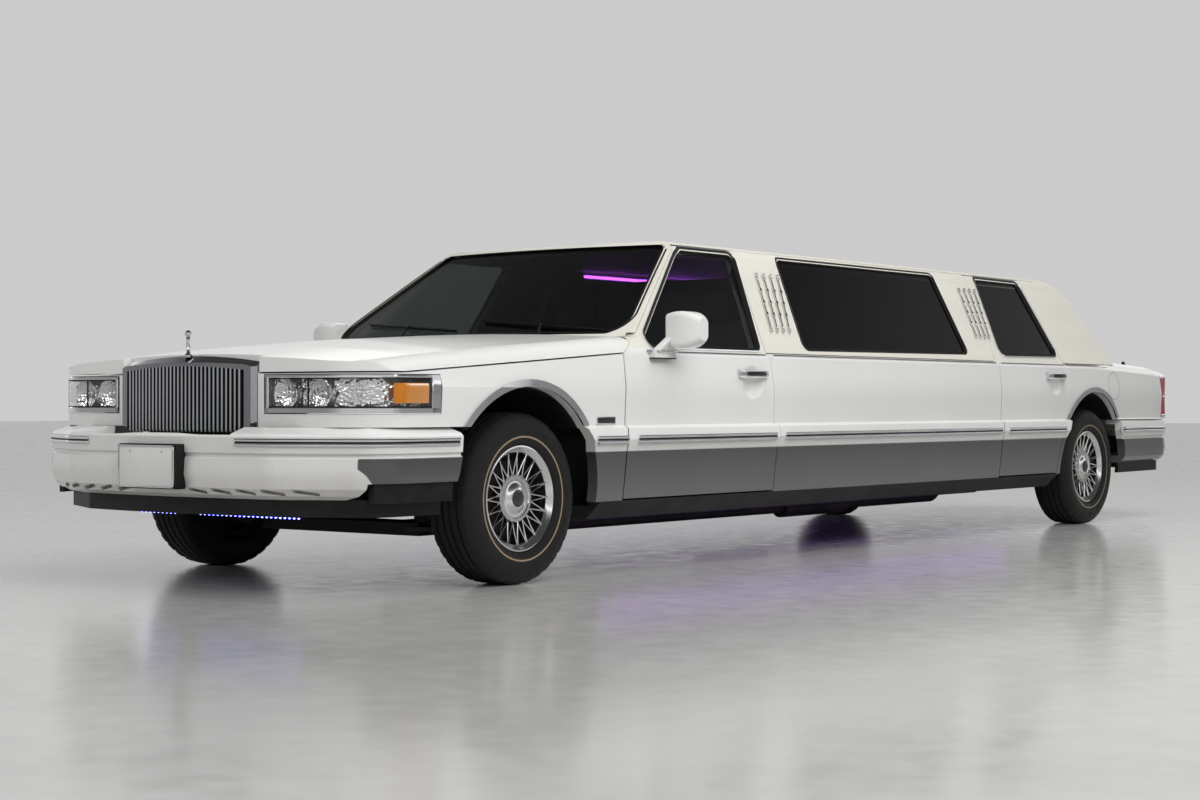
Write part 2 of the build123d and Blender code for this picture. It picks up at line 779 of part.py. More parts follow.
with BuildPart() as rear_body:
    add(lower_outer)
    box_between((-4000, -1200, 200), (-1850, 1200, 1300), mode=Mode.INTERSECT)
    add(cabin, mode=Mode.SUBTRACT)
    with BuildPart(mode=Mode.PRIVATE) as trunk_room:
        add(lower_inner_rear)
        box_between((-4000, -1200, 200), (-2640, 1200, 1300), mode=Mode.INTERSECT)
        box_between((lid_front_x + panel_gap, -1200, belt_z - hood_wall), (-2600, 1200, 1300), mode=Mode.SUBTRACT)
    add(trunk_room.part, mode=Mode.SUBTRACT)
    add(lid_space(panel_gap), mode=Mode.SUBTRACT)
    add(door_cut, mode=Mode.SUBTRACT)
    add(house_above_belt.part, mode=Mode.SUBTRACT)
    add(wells, mode=Mode.SUBTRACT)
    add(rear_lamp_space.part, mode=Mode.SUBTRACT)
    box_between((-2560, -1200, belt_z), (-1850, 1200, 1300), mode=Mode.SUBTRACT)
    box_between((-4000, -1200, 200), (rear_axle_x, 1200, rear_bumper_top + 3), mode=Mode.SUBTRACT)
    for side in (1, -1):
        y = side * trunk_arm_y
        box_between((lid_hinge_x - 20, y - 7, 900), (lid_hinge_x + 13, y + 7, 1100), mode=Mode.SUBTRACT)
        add(lid_pin(lid_hinge_x, y, lid_hinge_z))
save(rear_body, "rear_body")
print("rear body", len(rear_body.solids()), [round(s.volume) for s in rear_body.solids()])

# Bumpers: a rounded plan outline, lofted through rows of height and setback
front_bumper_x = 3814.0
rear_bumper_x = tail_x
front_bumper_plan = [(3768, 560), (3600, 885), (3500, 940), (bumper_back_x - 200, 952)]
rear_bumper_plan = [(-3806, 560), (-3660, 810), (-3500, 918), (-2630, 958)]
front_bumper_rows = [
    (352, 62), (366, 34), (392, 12), (440, 0), (500, 4), (507, 14), (516, 14), (520, 4),
    (578, 0), (590, 12), (bumper_top, 76),
]
rear_bumper_rows = [
    (345, 46), (356, 26), (380, 8), (430, 0), (484, 4), (491, 14), (499, 14), (504, 4),
    (560, 0), (588, 6), (rear_bumper_top, 24),
]
corner_radii = (150.0, 130.0, 260.0)
bumper_wall = 50.0
bumper_lip = 106.0
# The brackets run from the frame's ends to the bumpers' inner faces
frame_end_x = 3560.0


def bumper_face(tip_x, plan, setback, z):
    """The closed plan outline of a bumper, moved in by the setback."""
    with BuildSketch(Plane.XY.offset(z)) as face:
        with BuildLine():
            first = plan[0]
            last = plan[-1]
            ThreePointArc((first[0], -first[1]), (tip_x, 0), first)
            Polyline(*plan)
            Line(last, (last[0], -last[1]))
            Polyline(*[(x, -y) for x, y in reversed(plan)])
        make_face()
        for (x, y), radius in zip(plan, corner_radii):
            corners = face.vertices().filter_by(lambda v: abs(v.X - x) < 1 and abs(abs(v.Y) - y) < 1)
            fillet(corners, radius)
        if setback:
            offset(amount=-setback, mode=Mode.REPLACE)
    return face.sketch


def bumper(tip_x, plan, rows, room_low, room_high, back_x):
    """A bumper: its lofted outside with the room behind its wall cut away."""
    with BuildPart() as piece:
        loft([bumper_face(tip_x, plan, setback, z) for z, setback in rows], ruled=True)
        room = bumper_face(tip_x, plan, bumper_wall, room_low)
        extrude(room, amount=room_high - room_low, mode=Mode.SUBTRACT)
        extrude(bumper_face(tip_x, plan, bumper_lip, 200), amount=600, mode=Mode.SUBTRACT)
        side = 1 if tip_x > 0 else -1
        low, high = sorted((side * 1000, back_x))
        box_between((low, -1200, 200), (high, 1200, 800), mode=Mode.SUBTRACT)
    return piece.part


bumper_side_x = 3590.0
cover_top = 412.0
rear_bumper_front_x = -2760.0
slot_places = (205.0, 320.0, 435.0, 550.0, 665.0)
slot_z = 379.0
slot_width = 86.0
slot_height = 13.0
slot_setback = 58.0
slot_lean = 9.0
with BuildPart() as bumper_slots:
    extrude(bumper_face(front_bumper_x, front_bumper_plan, 0, slot_z - 30), amount=60)
    slot_room = bumper_face(front_bumper_x, front_bumper_plan, slot_setback, slot_z - 30)
    extrude(slot_room, amount=60, mode=Mode.SUBTRACT)
    with BuildPart(mode=Mode.PRIVATE) as slot_bars:
        for side in (1, -1):
            for y in slot_places:
                with Locations(Location((3700, side * y, slot_z), (-side * slot_lean, 0, 0))):
                    Box(400, slot_width, slot_height)
    add(slot_bars.part, mode=Mode.INTERSECT)
with BuildPart() as front_bumper:
    add(bumper(front_bumper_x, front_bumper_plan, front_bumper_rows, 398, 574, bumper_back_x))
    # The sides end higher, above the black cover, and the middle dips below the grille
    box_between((3000, -1200, 300), (bumper_side_x, 1200, cover_top), mode=Mode.SUBTRACT)
    box_between((3500, -grille_half - 6, grille_low - 6), (3800, grille_half + 6, 700), mode=Mode.SUBTRACT)
    add(bumper_slots.part, mode=Mode.SUBTRACT)
    for y_low, y_high in ((400, 460), (-460, -400)):
        box_between((frame_end_x + seat_gap, y_low, 400), (front_bumper_x - 60, y_high, 460))
    add(wells, mode=Mode.SUBTRACT)
    add(front_fenders.part, mode=Mode.SUBTRACT)
save(front_bumper, "front_bumper")
with BuildPart() as rear_bumper:
    add(bumper(rear_bumper_x, rear_bumper_plan, rear_bumper_rows, 386, 574, rear_bumper_front_x))
    for y_low, y_high in ((400, 460), (-460, -400)):
        box_between((rear_bumper_x + 80, y_low, 400), (-frame_end_x - seat_gap, y_high, 460))
    add(wells, mode=Mode.SUBTRACT)
    add(rear_body.part, mode=Mode.SUBTRACT)
save(rear_bumper, "rear_bumper")
print("bumpers", len(front_bumper.solids()), len(rear_bumper.solids()))

plate_hole_spacing = 178.0
plate_hole_radius = 3.5
plate_hole_z = 522.0
plate_half = 158.0
plate_low = 384.0
plate_top = 550.0
with BuildPart() as plate_bracket:
    box_between((front_bumper_x - 20, -plate_half, plate_low), (overall_length / 2, plate_half, plate_top))
    add(front_bumper.part, mode=Mode.SUBTRACT)
    for y in (-plate_hole_spacing / 2, plate_hole_spacing / 2):
        with Locations(Location((overall_length / 2 - 12, y, plate_hole_z), (0, 90, 0))):
            Cylinder(plate_hole_radius, 24, mode=Mode.SUBTRACT)
save(plate_bracket, "plate_bracket")

# Black covers below the front bumper, behind its painted sides and below the rear bumper:
# bumper's tip, plan, setback outside and inside, lowest and highest z, lowest and highest x
front_lip_z = front_bumper_rows[0][0]
rear_lip_z = rear_bumper_rows[0][0]
valance_rows = [
    (front_bumper_x, front_bumper_plan, 86, 104, 288, front_lip_z, bumper_back_x, 4000),
    (front_bumper_x, front_bumper_plan, 26, 46, 340, cover_top, bumper_back_x, bumper_side_x - 30),
    (rear_bumper_x, rear_bumper_plan, 52, 72, 285, rear_lip_z, -4000, rear_bumper_front_x),
]
with BuildPart() as valances:
    for tip_x, plan, outer, inner, low, touch_z, x_low, x_high in valance_rows:
        height = touch_z - seat_gap - low
        with BuildPart(mode=Mode.PRIVATE) as cover:
            extrude(bumper_face(tip_x, plan, outer, low), amount=height)
            extrude(bumper_face(tip_x, plan, inner, low), amount=height, mode=Mode.SUBTRACT)
            box_between((x_low, -1200, 200), (x_high, 1200, 500), mode=Mode.INTERSECT)
            add(wells, mode=Mode.SUBTRACT)
        add(cover.part)
save(valances, "valances")
print("valances", len(valances.solids()))

# Grille: a bowed shell with tapered sides and upright bars
bar_count = 30
bar_width = 9.0
opening_half = 326.0
opening_low = 598.0
opening_top = (822.0, 838.0)
shell_taper = 24.0
grille_bow = 2780.0
with BuildPart() as grille:
    with BuildSketch(Plane.YZ.offset(grille_back_x)) as shell:
        with BuildLine():
            ThreePointArc((-grille_half, grille_top), (0, grille_top + grille_crown), (grille_half, grille_top))
            Polyline(
                (grille_half, grille_top), (grille_half, grille_low),
                (-grille_half, grille_low), (-grille_half, grille_top),
            )
        make_face()
        fillet(shell.vertices().group_by(Axis.Y)[0], 40)
        fillet(shell.vertices().group_by(Axis.Y)[-1], 18)
    extrude(amount=22)
    extrude(grille.faces().sort_by(Axis.X)[-1], amount=grille_face_x - grille_back_x - 22, taper=shell_taper)
    with BuildSketch(Plane.YZ.offset(grille_back_x)) as opening:
        with BuildLine():
            low, high = opening_top
            ThreePointArc((-opening_half, low), (0, high), (opening_half, low))
            Polyline(
                (opening_half, low), (opening_half, opening_low),
                (-opening_half, opening_low), (-opening_half, low),
            )
        make_face()
        fillet(opening.vertices().group_by(Axis.Y)[0], 16)
    extrude(opening.sketch, amount=100, mode=Mode.SUBTRACT)
    pitch = 2 * opening_half / (bar_count + 1)
    for i in range(bar_count):
        y = -opening_half + pitch * (i + 1)
        box_between(
            (grille_back_x + 20, y - bar_width / 2, opening_low - 5),
            (grille_face_x + 20, y + bar_width / 2, low + 14),
        )
    with Locations((grille_face_x - grille_bow, 0, 700)):
        Cylinder(grille_bow, 600, mode=Mode.INTERSECT)
    with Locations((ornament_x, 0, grille_top + grille_crown)):
        Cylinder(14, 10)
    box_between((ornament_x - 4, -4, grille_top + 18), (ornament_x + 4, 4, 970))
    add(front_fenders.part, mode=Mode.SUBTRACT)
    add(front_bumper.part, mode=Mode.SUBTRACT)
save(grille, "grille")
print("grille", len(grille.solids()))

# Wheels
side_names = {1: "left", -1: "right"}
axle_table = [("front", front_axle_x, front_track / 2), ("rear", rear_axle_x, rear_track / 2)]
half_tyre = tyre_width / 2
hub_face = 20.0
window_count = 20
window_low = 98.0
window_high = 158.0
window_width = 22.0
spindle_radius = rim_bore_radius - seat_gap


def wheel_shapes():
    """A rim and a tyre about the Y axis, outside towards +Y, centred on the origin."""
    with BuildPart() as tyre:
        with BuildSketch(Plane.XY) as section:
            with BuildLine():
                Polyline(
                    (rim_radius, -92), (rim_radius + 22, -104), (rim_radius + 68, -half_tyre),
                    (tyre_radius - 16, -100), (tyre_radius, -80), (tyre_radius, 80),
                    (tyre_radius - 16, 100), (rim_radius + 68, half_tyre),
                    (rim_radius + 22, 104), (rim_radius, 92), close=True,
                )
            make_face()
        revolve(axis=Axis.Y)
    with BuildPart() as rim:
        with BuildSketch(Plane.XY) as section:
            with BuildLine():
                Polyline(
                    (rim_bore_radius, -30), (70, -30), (70, hub_face), (168, 58), (190, 62),
                    (182, -92), (rim_radius, -92), (rim_radius, 92), (190, 92), (172, 74),
                    (80, hub_face + 40), (60, 62), (rim_bore_radius, 62), close=True,
                )
            make_face()
        revolve(axis=Axis.Y)
        with Locations(Location((0, 0, 0), (-90, 0, 0))):
            with PolarLocations((window_low + window_high) / 2, window_count):
                Box(window_high - window_low, window_width, 200, mode=Mode.SUBTRACT)
    return tyre.part, rim.part


tyre_shape, rim_shape = wheel_shapes()
for row, axle_x, half_track in axle_table:
    for side, side_name in side_names.items():
        turn = 0 if side > 0 else 180
        place = Location((axle_x, side * half_track, wheel_z), (0, 0, turn))
        with BuildPart() as tyre:
            add(tyre_shape.moved(place))
        save(tyre, f"tyre_{row}_{side_name}")
        with BuildPart() as rim:
            add(rim_shape.moved(place))
        save(rim, f"rim_{row}_{side_name}")

# Steering knuckles
kingpin_y = 700.0
ball_height = 118.0
post_radius = 22.0
ball_radius = 10.0
for side, side_name in side_names.items():
    with BuildPart() as knuckle:
        with Locations((front_axle_x, side * kingpin_y, wheel_z)):
            Cylinder(post_radius, 2 * ball_height)
            Cylinder(ball_radius, 2 * ball_height + 44)
        hub_inner = kingpin_y - 10
        hub_outer = front_track / 2 + 58
        with Locations(Location((front_axle_x, side * (hub_inner + hub_outer) / 2, wheel_z), (90, 0, 0))):
            Cylinder(spindle_radius, hub_outer - hub_inner)
        with Locations((front_axle_x - 70, side * kingpin_y, wheel_z - 60)):
            Box(140, 26, 24)
    save(knuckle, f"knuckle_{side_name}")

# Frame, floor and running gear
rail_half_out = 470.0
rail_half_in = 384.0
rail_low = 190.0
rail_top = 272.0
floor_top = 284.0
front_end_x = frame_end_x
rear_end_x = -frame_end_x
cross_rows = [3500.0, 3050.0, 1900.0, 600.0, -900.0, -1650.0, -2900.0, -3500.0]
kick_z = 470.0
tunnel_half = 130.0
tunnel_top = 440.0
shaft_z = 340.0
member_top = rail_top - 10
gearbox_radius = shaft_z - member_top - seat_gap
with BuildPart() as frame:
    rail = [
        (front_end_x, kick_z), (2450, kick_z), (2250, rail_top), (-1850, rail_top),
        (-2050, kick_z), (rear_end_x, kick_z), (rear_end_x, kick_z - 82), (-2020, kick_z - 82),
        (-1820, rail_low), (2220, rail_low), (2420, kick_z - 82), (front_end_x, kick_z - 82),
    ]
    add(prism(rail, rail_half_in, rail_half_out))
    mirror(about=Plane.XZ)
    for x in cross_rows:
        top = rail_top if -1900 <= x <= 2200 else kick_z
        box_between((x - 30, -rail_half_in - 2, top - 78), (x + 30, rail_half_in + 2, top - 10))
save(frame, "frame")
print("frame", len(frame.solids()))

with BuildPart() as floor_pan:
    # The floor, firewall, seat panel and trunk floor are one bent sheet
    sheet = 12.0
    base = rail_top
    line = [
        (2262, 880), (2262, 560), (2150, base), (-1830, base), (-2040, kick_z), (-3690, kick_z),
        (-3690, kick_z + sheet), (-2046, kick_z + sheet), (-1836, base + sheet),
        (2144, base + sheet), (2250, 563), (2250, 880),
    ]
    add(prism(line, -door_inner_y + seat_gap, door_inner_y - seat_gap))
    box_between((-2640, -door_inner_y + seat_gap, kick_z), (-2628, door_inner_y - seat_gap, rear_bumper_top + 3 - seat_gap))
    for side in (1, -1):
        with BuildSketch(Plane.YZ.offset(-1930)):
            with BuildLine():
                sill = [
                    (700, sill_bottom), (850, sill_bottom), (928, panel_bottom),
                    (door_inner_y + 4, panel_bottom), (door_inner_y + 4, floor_top), (700, floor_top),
                ]
                Polyline(*[(side * y, z) for y, z in sill], close=True)
            make_face()
        extrude(amount=2300 + 1930)
    box_between((-2000, -tunnel_half, base), (2240, tunnel_half, tunnel_top))
    box_between((-2100, -tunnel_half + sheet, 100), (2300, tunnel_half - sheet, tunnel_top - sheet), mode=Mode.SUBTRACT)
    for side in (1, -1):
        near, far = sorted((side * 780, side * 1000))
        box_between((-4000, near, 400), (-2650, far, 1000), mode=Mode.SUBTRACT)
    box_between((-4000, -1000, 300), (-3560, 1000, 1000), mode=Mode.SUBTRACT)
    add(wells, mode=Mode.SUBTRACT)
    add(frame.part, mode=Mode.SUBTRACT)
save(floor_pan, "floor_pan")
print("floor", len(floor_pan.solids()), [round(s.volume) for s in floor_pan.solids()])

with BuildPart() as engine:
    box_between((2330, -300, kick_z - 130), (2990, 300, 840))
    chamfer(engine.edges().filter_by(Axis.X), 60)
    box_between((3470, -350, kick_z - 10 + seat_gap), (3540, 350, 790))
    box_between((2600, -rail_half_in + seat_gap, kick_z - 120), (2700, rail_half_in - seat_gap, kick_z - 60))
save(engine, "engine")

with BuildPart() as driveline:
    with Locations(Location((1980, 0, shaft_z), (0, 90, 0))):
        Cylinder(gearbox_radius, 699.4)
    with Locations(Location((-329, 0, shaft_z), (0, 90, 0))):
        Cylinder(42, 3922)
    box_between((1870, -60, member_top + seat_gap), (1930, 60, shaft_z))
save(driveline, "driveline")

pipe_z = 162.0
pipe_radius = 26.0
with BuildPart() as exhaust:
    for side in (1, -1):
        y = side * 250
        with BuildLine() as path:
            FilletPolyline((2300, y, pipe_z), (-1700, y, pipe_z), (-2150, y, 425), (-2600, y, 425),
                           (-2850, y, 345), (-3760, y, 300), radius=100)
        with BuildSketch(Plane(origin=(2300, y, pipe_z), z_dir=(-1, 0, 0))):
            Circle(pipe_radius)
        sweep(path=path.wire())
        with Locations(Location((-400, y, pipe_z), (0, 90, 0))):
            Cylinder(48, 620)
        for x in cross_rows[2:6]:
            top = rail_top - 78 - seat_gap
            box_between((x - 12, y - 8, pipe_z), (x + 12, y + 8, top))
save(exhaust, "exhaust")
print("exhaust", len(exhaust.solids()))

member_low = kick_z - 78
with BuildPart() as fuel_tank:
    box_between((-3150, -200, 320), (-2780, 200, kick_z - 82 - 8))
    chamfer(fuel_tank.edges().filter_by(Axis.Y), 20)
    for x in (-3100, -2900):
        box_between((x - 20, -330, kick_z - 92), (x + 20, 330, member_low - seat_gap))
save(fuel_tank, "fuel_tank")

with BuildPart() as front_suspension:
    for side in (1, -1):
        for z in (wheel_z - ball_height - 10.4, wheel_z + ball_height + 10.4):
            with BuildSketch(Plane.XY.offset(z - 10)):
                with BuildLine():
                    near = side * (rail_half_out - 30)
                    far = side * (kingpin_y + 24)
                    Polyline((front_axle_x - 160, near), (front_axle_x + 160, near),
                             (front_axle_x + 24, far), (front_axle_x - 24, far), close=True)
                make_face()
            extrude(amount=20)
        with Locations((front_axle_x, side * kingpin_y, wheel_z)):
            Cylinder(ball_radius + 0.5, 400, mode=Mode.SUBTRACT)
        # A coil spring, as the tube that it fills, between the lower arm and the rail
        with Locations((front_axle_x, side * 540, wheel_z)):
            Cylinder(52, 2 * ball_height + 20)
    box_between((front_axle_x - 90, -rail_half_in - 60, wheel_z - ball_height - 40),
                (front_axle_x + 90, rail_half_in + 60, wheel_z - ball_height + 10))
    for side in (1, -1):
        box_between((front_axle_x - 60, side * 430 - 40, 200), (front_axle_x + 60, side * 430 + 40, 480))
    add(frame.part, mode=Mode.SUBTRACT)
save(front_suspension, "front_suspension")
print("front suspension", len(front_suspension.solids()))

rear_hub_inner = rear_track / 2 - 96
rear_hub_outer = rear_track / 2 + 58
with BuildPart() as rear_axle:
    with Locations(Location((rear_axle_x, 0, wheel_z), (90, 0, 0))):
        Cylinder(38, 2 * (rear_hub_inner - 20))
        Cylinder(spindle_radius, 2 * rear_hub_outer)
    with Locations((rear_axle_x, 0, wheel_z)):
        Sphere(118)
    for side in (1, -1):
        with Locations((rear_axle_x, side * 430, (wheel_z + kick_z - 82) / 2 + 10)):
            Cylinder(48, kick_z - 82 - wheel_z - 20)
        box_between((rear_axle_x - 30, side * 430 - 30, wheel_z), (rear_axle_x + 30, side * 430 + 30, kick_z - 82))
        near, far = sorted((side * (rail_half_out + seat_gap), side * 530))
        box_between((rear_axle_x - 30, near, 232), (rear_axle_x + 620, far, 262))
        box_between((rear_axle_x - 30, near, 232), (rear_axle_x + 30, far, 320))
    add(driveline.part, mode=Mode.SUBTRACT)
    add(floor_pan.part, mode=Mode.SUBTRACT)
    add(frame.part, mode=Mode.SUBTRACT)
save(rear_axle, "rear_axle")
print("rear axle", len(rear_axle.solids()))

liner_inner = {front_axle_x: 505.0, rear_axle_x: 650.0}
liner_outer_y = 905.0
with BuildPart() as wheel_liners:
    for axle_x in (front_axle_x, rear_axle_x):
        inner_y = liner_inner[axle_x]
        for side in (1, -1):
            middle = (inner_y + liner_outer_y) / 2
            with Locations(Location((axle_x, side * middle, wheel_z), (90, 0, 0))):
                Cylinder(arch_radius - seat_gap, liner_outer_y - inner_y)
    for axle_x in (front_axle_x, rear_axle_x):
        inner_y = liner_inner[axle_x] + (liner_wall if axle_x == rear_axle_x else -1)
        for side in (1, -1):
            middle = (inner_y + liner_outer_y + 1) / 2
            with Locations(Location((axle_x, side * middle, wheel_z), (90, 0, 0))):
                Cylinder(arch_radius - liner_wall, liner_outer_y + 1 - inner_y, mode=Mode.SUBTRACT)
    box_between((-4000, -1200, 600), (4000, 1200, 1300), mode=Mode.INTERSECT)
save(wheel_liners, "wheel_liners")
print("liners", len(wheel_liners.solids()))

# Chrome trim on the fixed body
proud_skin = lower_solid(-moulding_proud)
with BuildPart() as body_trim:
    for axle_x in (front_axle_x, rear_axle_x):
        with Locations(Location((axle_x, 0, wheel_z), (90, 0, 0))):
            Cylinder(arch_radius + moulding_width, 2000)
            Cylinder(arch_radius + 1, 2000, mode=Mode.SUBTRACT)
    box_between((-4000, -1200, cladding_top_z + 14), (4000, 1200, 860), mode=Mode.INTERSECT)
    add(proud_skin, mode=Mode.INTERSECT)
    add(lower_solid(-seat_gap), mode=Mode.SUBTRACT)
    add(door_cut, mode=Mode.SUBTRACT)
save(body_trim, "body_trim")
print("trim", len(body_trim.solids()))

# Cabin
dash_half = 825.0
with BuildPart() as dashboard:
    line = [
        (1760, 640), (1800, 850), (1880, 905), (2000, 914), (2100, 914), (2256, 870),
        (2256, 580), (2060, 520),
    ]
    add(prism(line, -dash_half, dash_half, radius=12))
    add(cowl.part, mode=Mode.SUBTRACT)
    add(floor_pan.part, mode=Mode.SUBTRACT)
save(dashboard, "dashboard")

wheel_centre = (1590, 390, 850)
with BuildPart() as steering_wheel:
    tilt = Plane(origin=wheel_centre, z_dir=(-cos(radians(28)), 0, sin(radians(28))))
    with BuildSketch(Plane(origin=tilt.origin + tilt.x_dir * 185, x_dir=tilt.x_dir, z_dir=tilt.y_dir)):
        Circle(15)
    revolve(axis=Axis(tilt.origin, tilt.z_dir))
    with BuildSketch(tilt.offset(-12)):
        Circle(60)
        Rectangle(370, 34)
    extrude(amount=24)
    with BuildSketch(tilt.offset(-240)):
        Circle(28)
    extrude(amount=235)
    add(dashboard.part, mode=Mode.SUBTRACT)
save(steering_wheel, "steering_wheel")
print("steering wheel", len(steering_wheel.solids()))

floor_z = rail_top + 12 + seat_gap
with BuildPart() as front_seats:
    for side in (1, -1):
        seat = [(1420, floor_z + 60), (1440, 560), (1380, 600), (960, 560), (800, 1080), (720, 1090), (680, 1060),
                (820, floor_z + 60)]
        near, far = sorted((side * 130, side * 660))
        add(prism(seat, near, far, radius=18))
        box_between((900, near + 40, floor_z), (1340, far - 40, floor_z + 62))
        mid = (near + far) / 2
        box_between((735, mid - 120, 1085), (800, mid + 120, 1230))
save(front_seats, "front_seats")
print("front seats", len(front_seats.solids()))

with BuildPart() as partition:
    box_between((560, -door_inner_y + seat_gap, floor_z), (600, door_inner_y - seat_gap, 1300))
    add(house_inner, mode=Mode.INTERSECT)
    box_between((540, -420, 960), (620, 420, 1240), mode=Mode.SUBTRACT)
    add(floor_pan.part, mode=Mode.SUBTRACT)
save(partition, "partition")
print("partition", len(partition.solids()))

with BuildPart() as rear_seats:
    bench = [(-1980, 500), (-1990, 640), (-2060, 690), (-2420, 650), (-2520, 1080), (-2560, 1090), (-2560, 500)]
    add(prism(bench, -620, 620, radius=12))
    side_bench = [(-780, floor_z), (520, floor_z), (520, 640), (-780, 640)]
    add(prism(side_bench, -door_inner_y + seat_gap, -330, radius=12))
    side_back = [(-780, 630), (520, 630), (520, 900), (-780, 900)]
    add(prism(side_back, -door_inner_y + seat_gap, -730, radius=12))
    box_between((-2560, -600, kick_z + 12 + seat_gap), (-2060, 600, 540))
    add(house_inner, mode=Mode.INTERSECT)
    add(floor_pan.part, mode=Mode.SUBTRACT)
save(rear_seats, "rear_seats")
print("rear seats", len(rear_seats.solids()))

with BuildPart() as bar_console:
    cabinet = [(-760, floor_z), (500, floor_z), (500, 820), (-760, 820)]
    add(prism(cabinet, 470, 845, radius=12))
    box_between((-700, 460, 640), (440, 800, 800), mode=Mode.SUBTRACT)
save(bar_console, "bar_console")
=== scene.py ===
"""Looks of the stretch limousine saloon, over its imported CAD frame. Metres, +X forward, +Y left, +Z up."""
import json
import math

import bmesh
import bpy
from mathutils import Matrix, Vector
from mathutils.bvhtree import BVHTree


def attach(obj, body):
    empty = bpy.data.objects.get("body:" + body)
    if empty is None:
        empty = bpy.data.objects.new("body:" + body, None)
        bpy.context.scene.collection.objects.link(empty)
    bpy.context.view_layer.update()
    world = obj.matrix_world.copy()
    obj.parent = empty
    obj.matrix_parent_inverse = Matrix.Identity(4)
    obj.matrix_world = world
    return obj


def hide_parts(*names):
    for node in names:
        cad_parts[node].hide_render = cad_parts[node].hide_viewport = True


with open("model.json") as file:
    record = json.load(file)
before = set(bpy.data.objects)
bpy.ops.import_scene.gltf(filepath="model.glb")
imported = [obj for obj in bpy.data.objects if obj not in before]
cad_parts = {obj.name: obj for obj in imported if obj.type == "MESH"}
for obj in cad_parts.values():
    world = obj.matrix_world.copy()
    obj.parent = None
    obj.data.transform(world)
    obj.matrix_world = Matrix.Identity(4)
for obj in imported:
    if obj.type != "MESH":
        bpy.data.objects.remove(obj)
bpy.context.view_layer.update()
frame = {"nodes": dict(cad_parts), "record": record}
nodes = frame["nodes"]
SIDES = {"left": 1, "right": -1}
AHEAD, BACK, LEFT, RIGHT = (1, 0, 0), (-1, 0, 0), (0, 1, 0), (0, -1, 0)
UP, DOWN = (0, 0, 1), (0, 0, -1)
RAY_REACH = 1.6  # rays at the body start this far from the car's middle, or from a corner's own
AXLES = (("front", 2.7595, 0.7975), ("rear", -2.3815, 0.804))
WHEEL_Z = 0.332
BELT_Z, BELT_TRIM_Z = 0.925, 0.9125
CLADDING_Z, STRIP_Z = 0.505, 0.5525


# Materials
class Nodes:
    """Adds nodes to one node tree."""

    def __init__(self, tree):
        self.tree = tree

    def feed(self, socket, value):
        """Links an output to the socket, or sets a plain value on it."""
        if isinstance(value, bpy.types.NodeSocket):
            self.tree.links.new(value, socket)
        elif socket.type == "RGBA":
            socket.default_value = (*value, 1.0)
        else:
            socket.default_value = value

    def add(self, kind, feeds=None, **settings):
        """A new node. feeds holds its inputs' values or sources, by name or number."""
        node = self.tree.nodes.new("ShaderNode" + kind)
        for key, value in settings.items():
            setattr(node, key, value)
        for key, value in (feeds or {}).items():
            self.feed(node.inputs[key], value)
        return node

    def math(self, operation, *values):
        return self.add("Math", dict(enumerate(values)), operation=operation).outputs[0]

    def ramp(self, value, start, end, low=0.0, high=1.0):
        """The value taken from start..end to low..high, and held at its ends."""
        feeds = {"Value": value, "From Min": start, "From Max": end, "To Min": low, "To Max": high}
        return self.add("MapRange", feeds).outputs["Result"]


class Shader(Nodes):
    """The nodes of one new material."""

    def __init__(self, name):
        self.mat = bpy.data.materials.new(name)
        self.mat.use_nodes = True
        super().__init__(self.mat.node_tree)
        self.bsdf = self.tree.nodes["Principled BSDF"]
        self.place = self.add("TexCoord").outputs["Object"]

    def set(self, **values):
        """Sets or links the surface's inputs, named with _ for a space."""
        for key, value in values.items():
            self.feed(self.bsdf.inputs[key.replace("_", " ")], value)

    def noise(self, scale, detail=4.0, stretch=None):
        place = self.place
        if stretch:
            place = self.add("Mapping", {"Vector": place, "Scale": stretch}).outputs["Vector"]
        feeds = {"Vector": place, "Scale": scale, "Detail": detail}
        return self.add("TexNoise", feeds).outputs["Fac"]

    def cells(self, scale):
        return self.add("TexVoronoi", {"Vector": self.place, "Scale": scale}).outputs["Distance"]

    def axis(self, letter):
        return self.add("SeparateXYZ", {"Vector": self.place}).outputs[letter]

    def mix(self, factor, a, b):
        """A colour between a and b."""
        return self.add("Mix", {"Factor": factor, 6: a, 7: b}, data_type="RGBA").outputs[2]

    def bump(self, height, strength, distance, under=None):
        """Relief on the surface, or on the normal under it where one is given."""
        feeds = {"Strength": strength, "Distance": distance, "Height": height}
        if under:
            feeds["Normal"] = under
        self.set(Normal=self.add("Bump", feeds).outputs["Normal"])


def rounded_normal(s, z, curve, band, reach):
    """The surface normal, with the crease between two flat halves shaded as one soft curve.

    curve is (low z, high z, lean below, lean above), band the heights it acts on, and reach the
    largest change of lean that it makes in full.
    """
    fade_lean, fade_z = 0.10, 0.01
    parts = s.add("SeparateXYZ", {"Vector": s.add("NewGeometry").outputs["Normal"]}).outputs
    lean = parts["Z"]
    wanted = s.ramp(z, *curve)
    wanted.node.interpolation_type = "SMOOTHSTEP"
    change = s.math("SUBTRACT", wanted, lean)
    share = s.ramp(s.math("ABSOLUTE", change), reach, reach + fade_lean, 1.0, 0.0)
    above = s.ramp(z, band[0], band[0] + fade_z)
    below = s.ramp(z, band[1], band[1] - fade_z)
    share = s.math("MULTIPLY", share, s.math("MULTIPLY", above, below))
    lean = s.math("ADD", lean, s.math("MULTIPLY", change, share))
    joined = s.add("CombineXYZ", {"X": parts["X"], "Y": parts["Y"], "Z": lean}).outputs["Vector"]
    return s.add("VectorMath", {0: joined}, operation="NORMALIZE").outputs["Vector"]


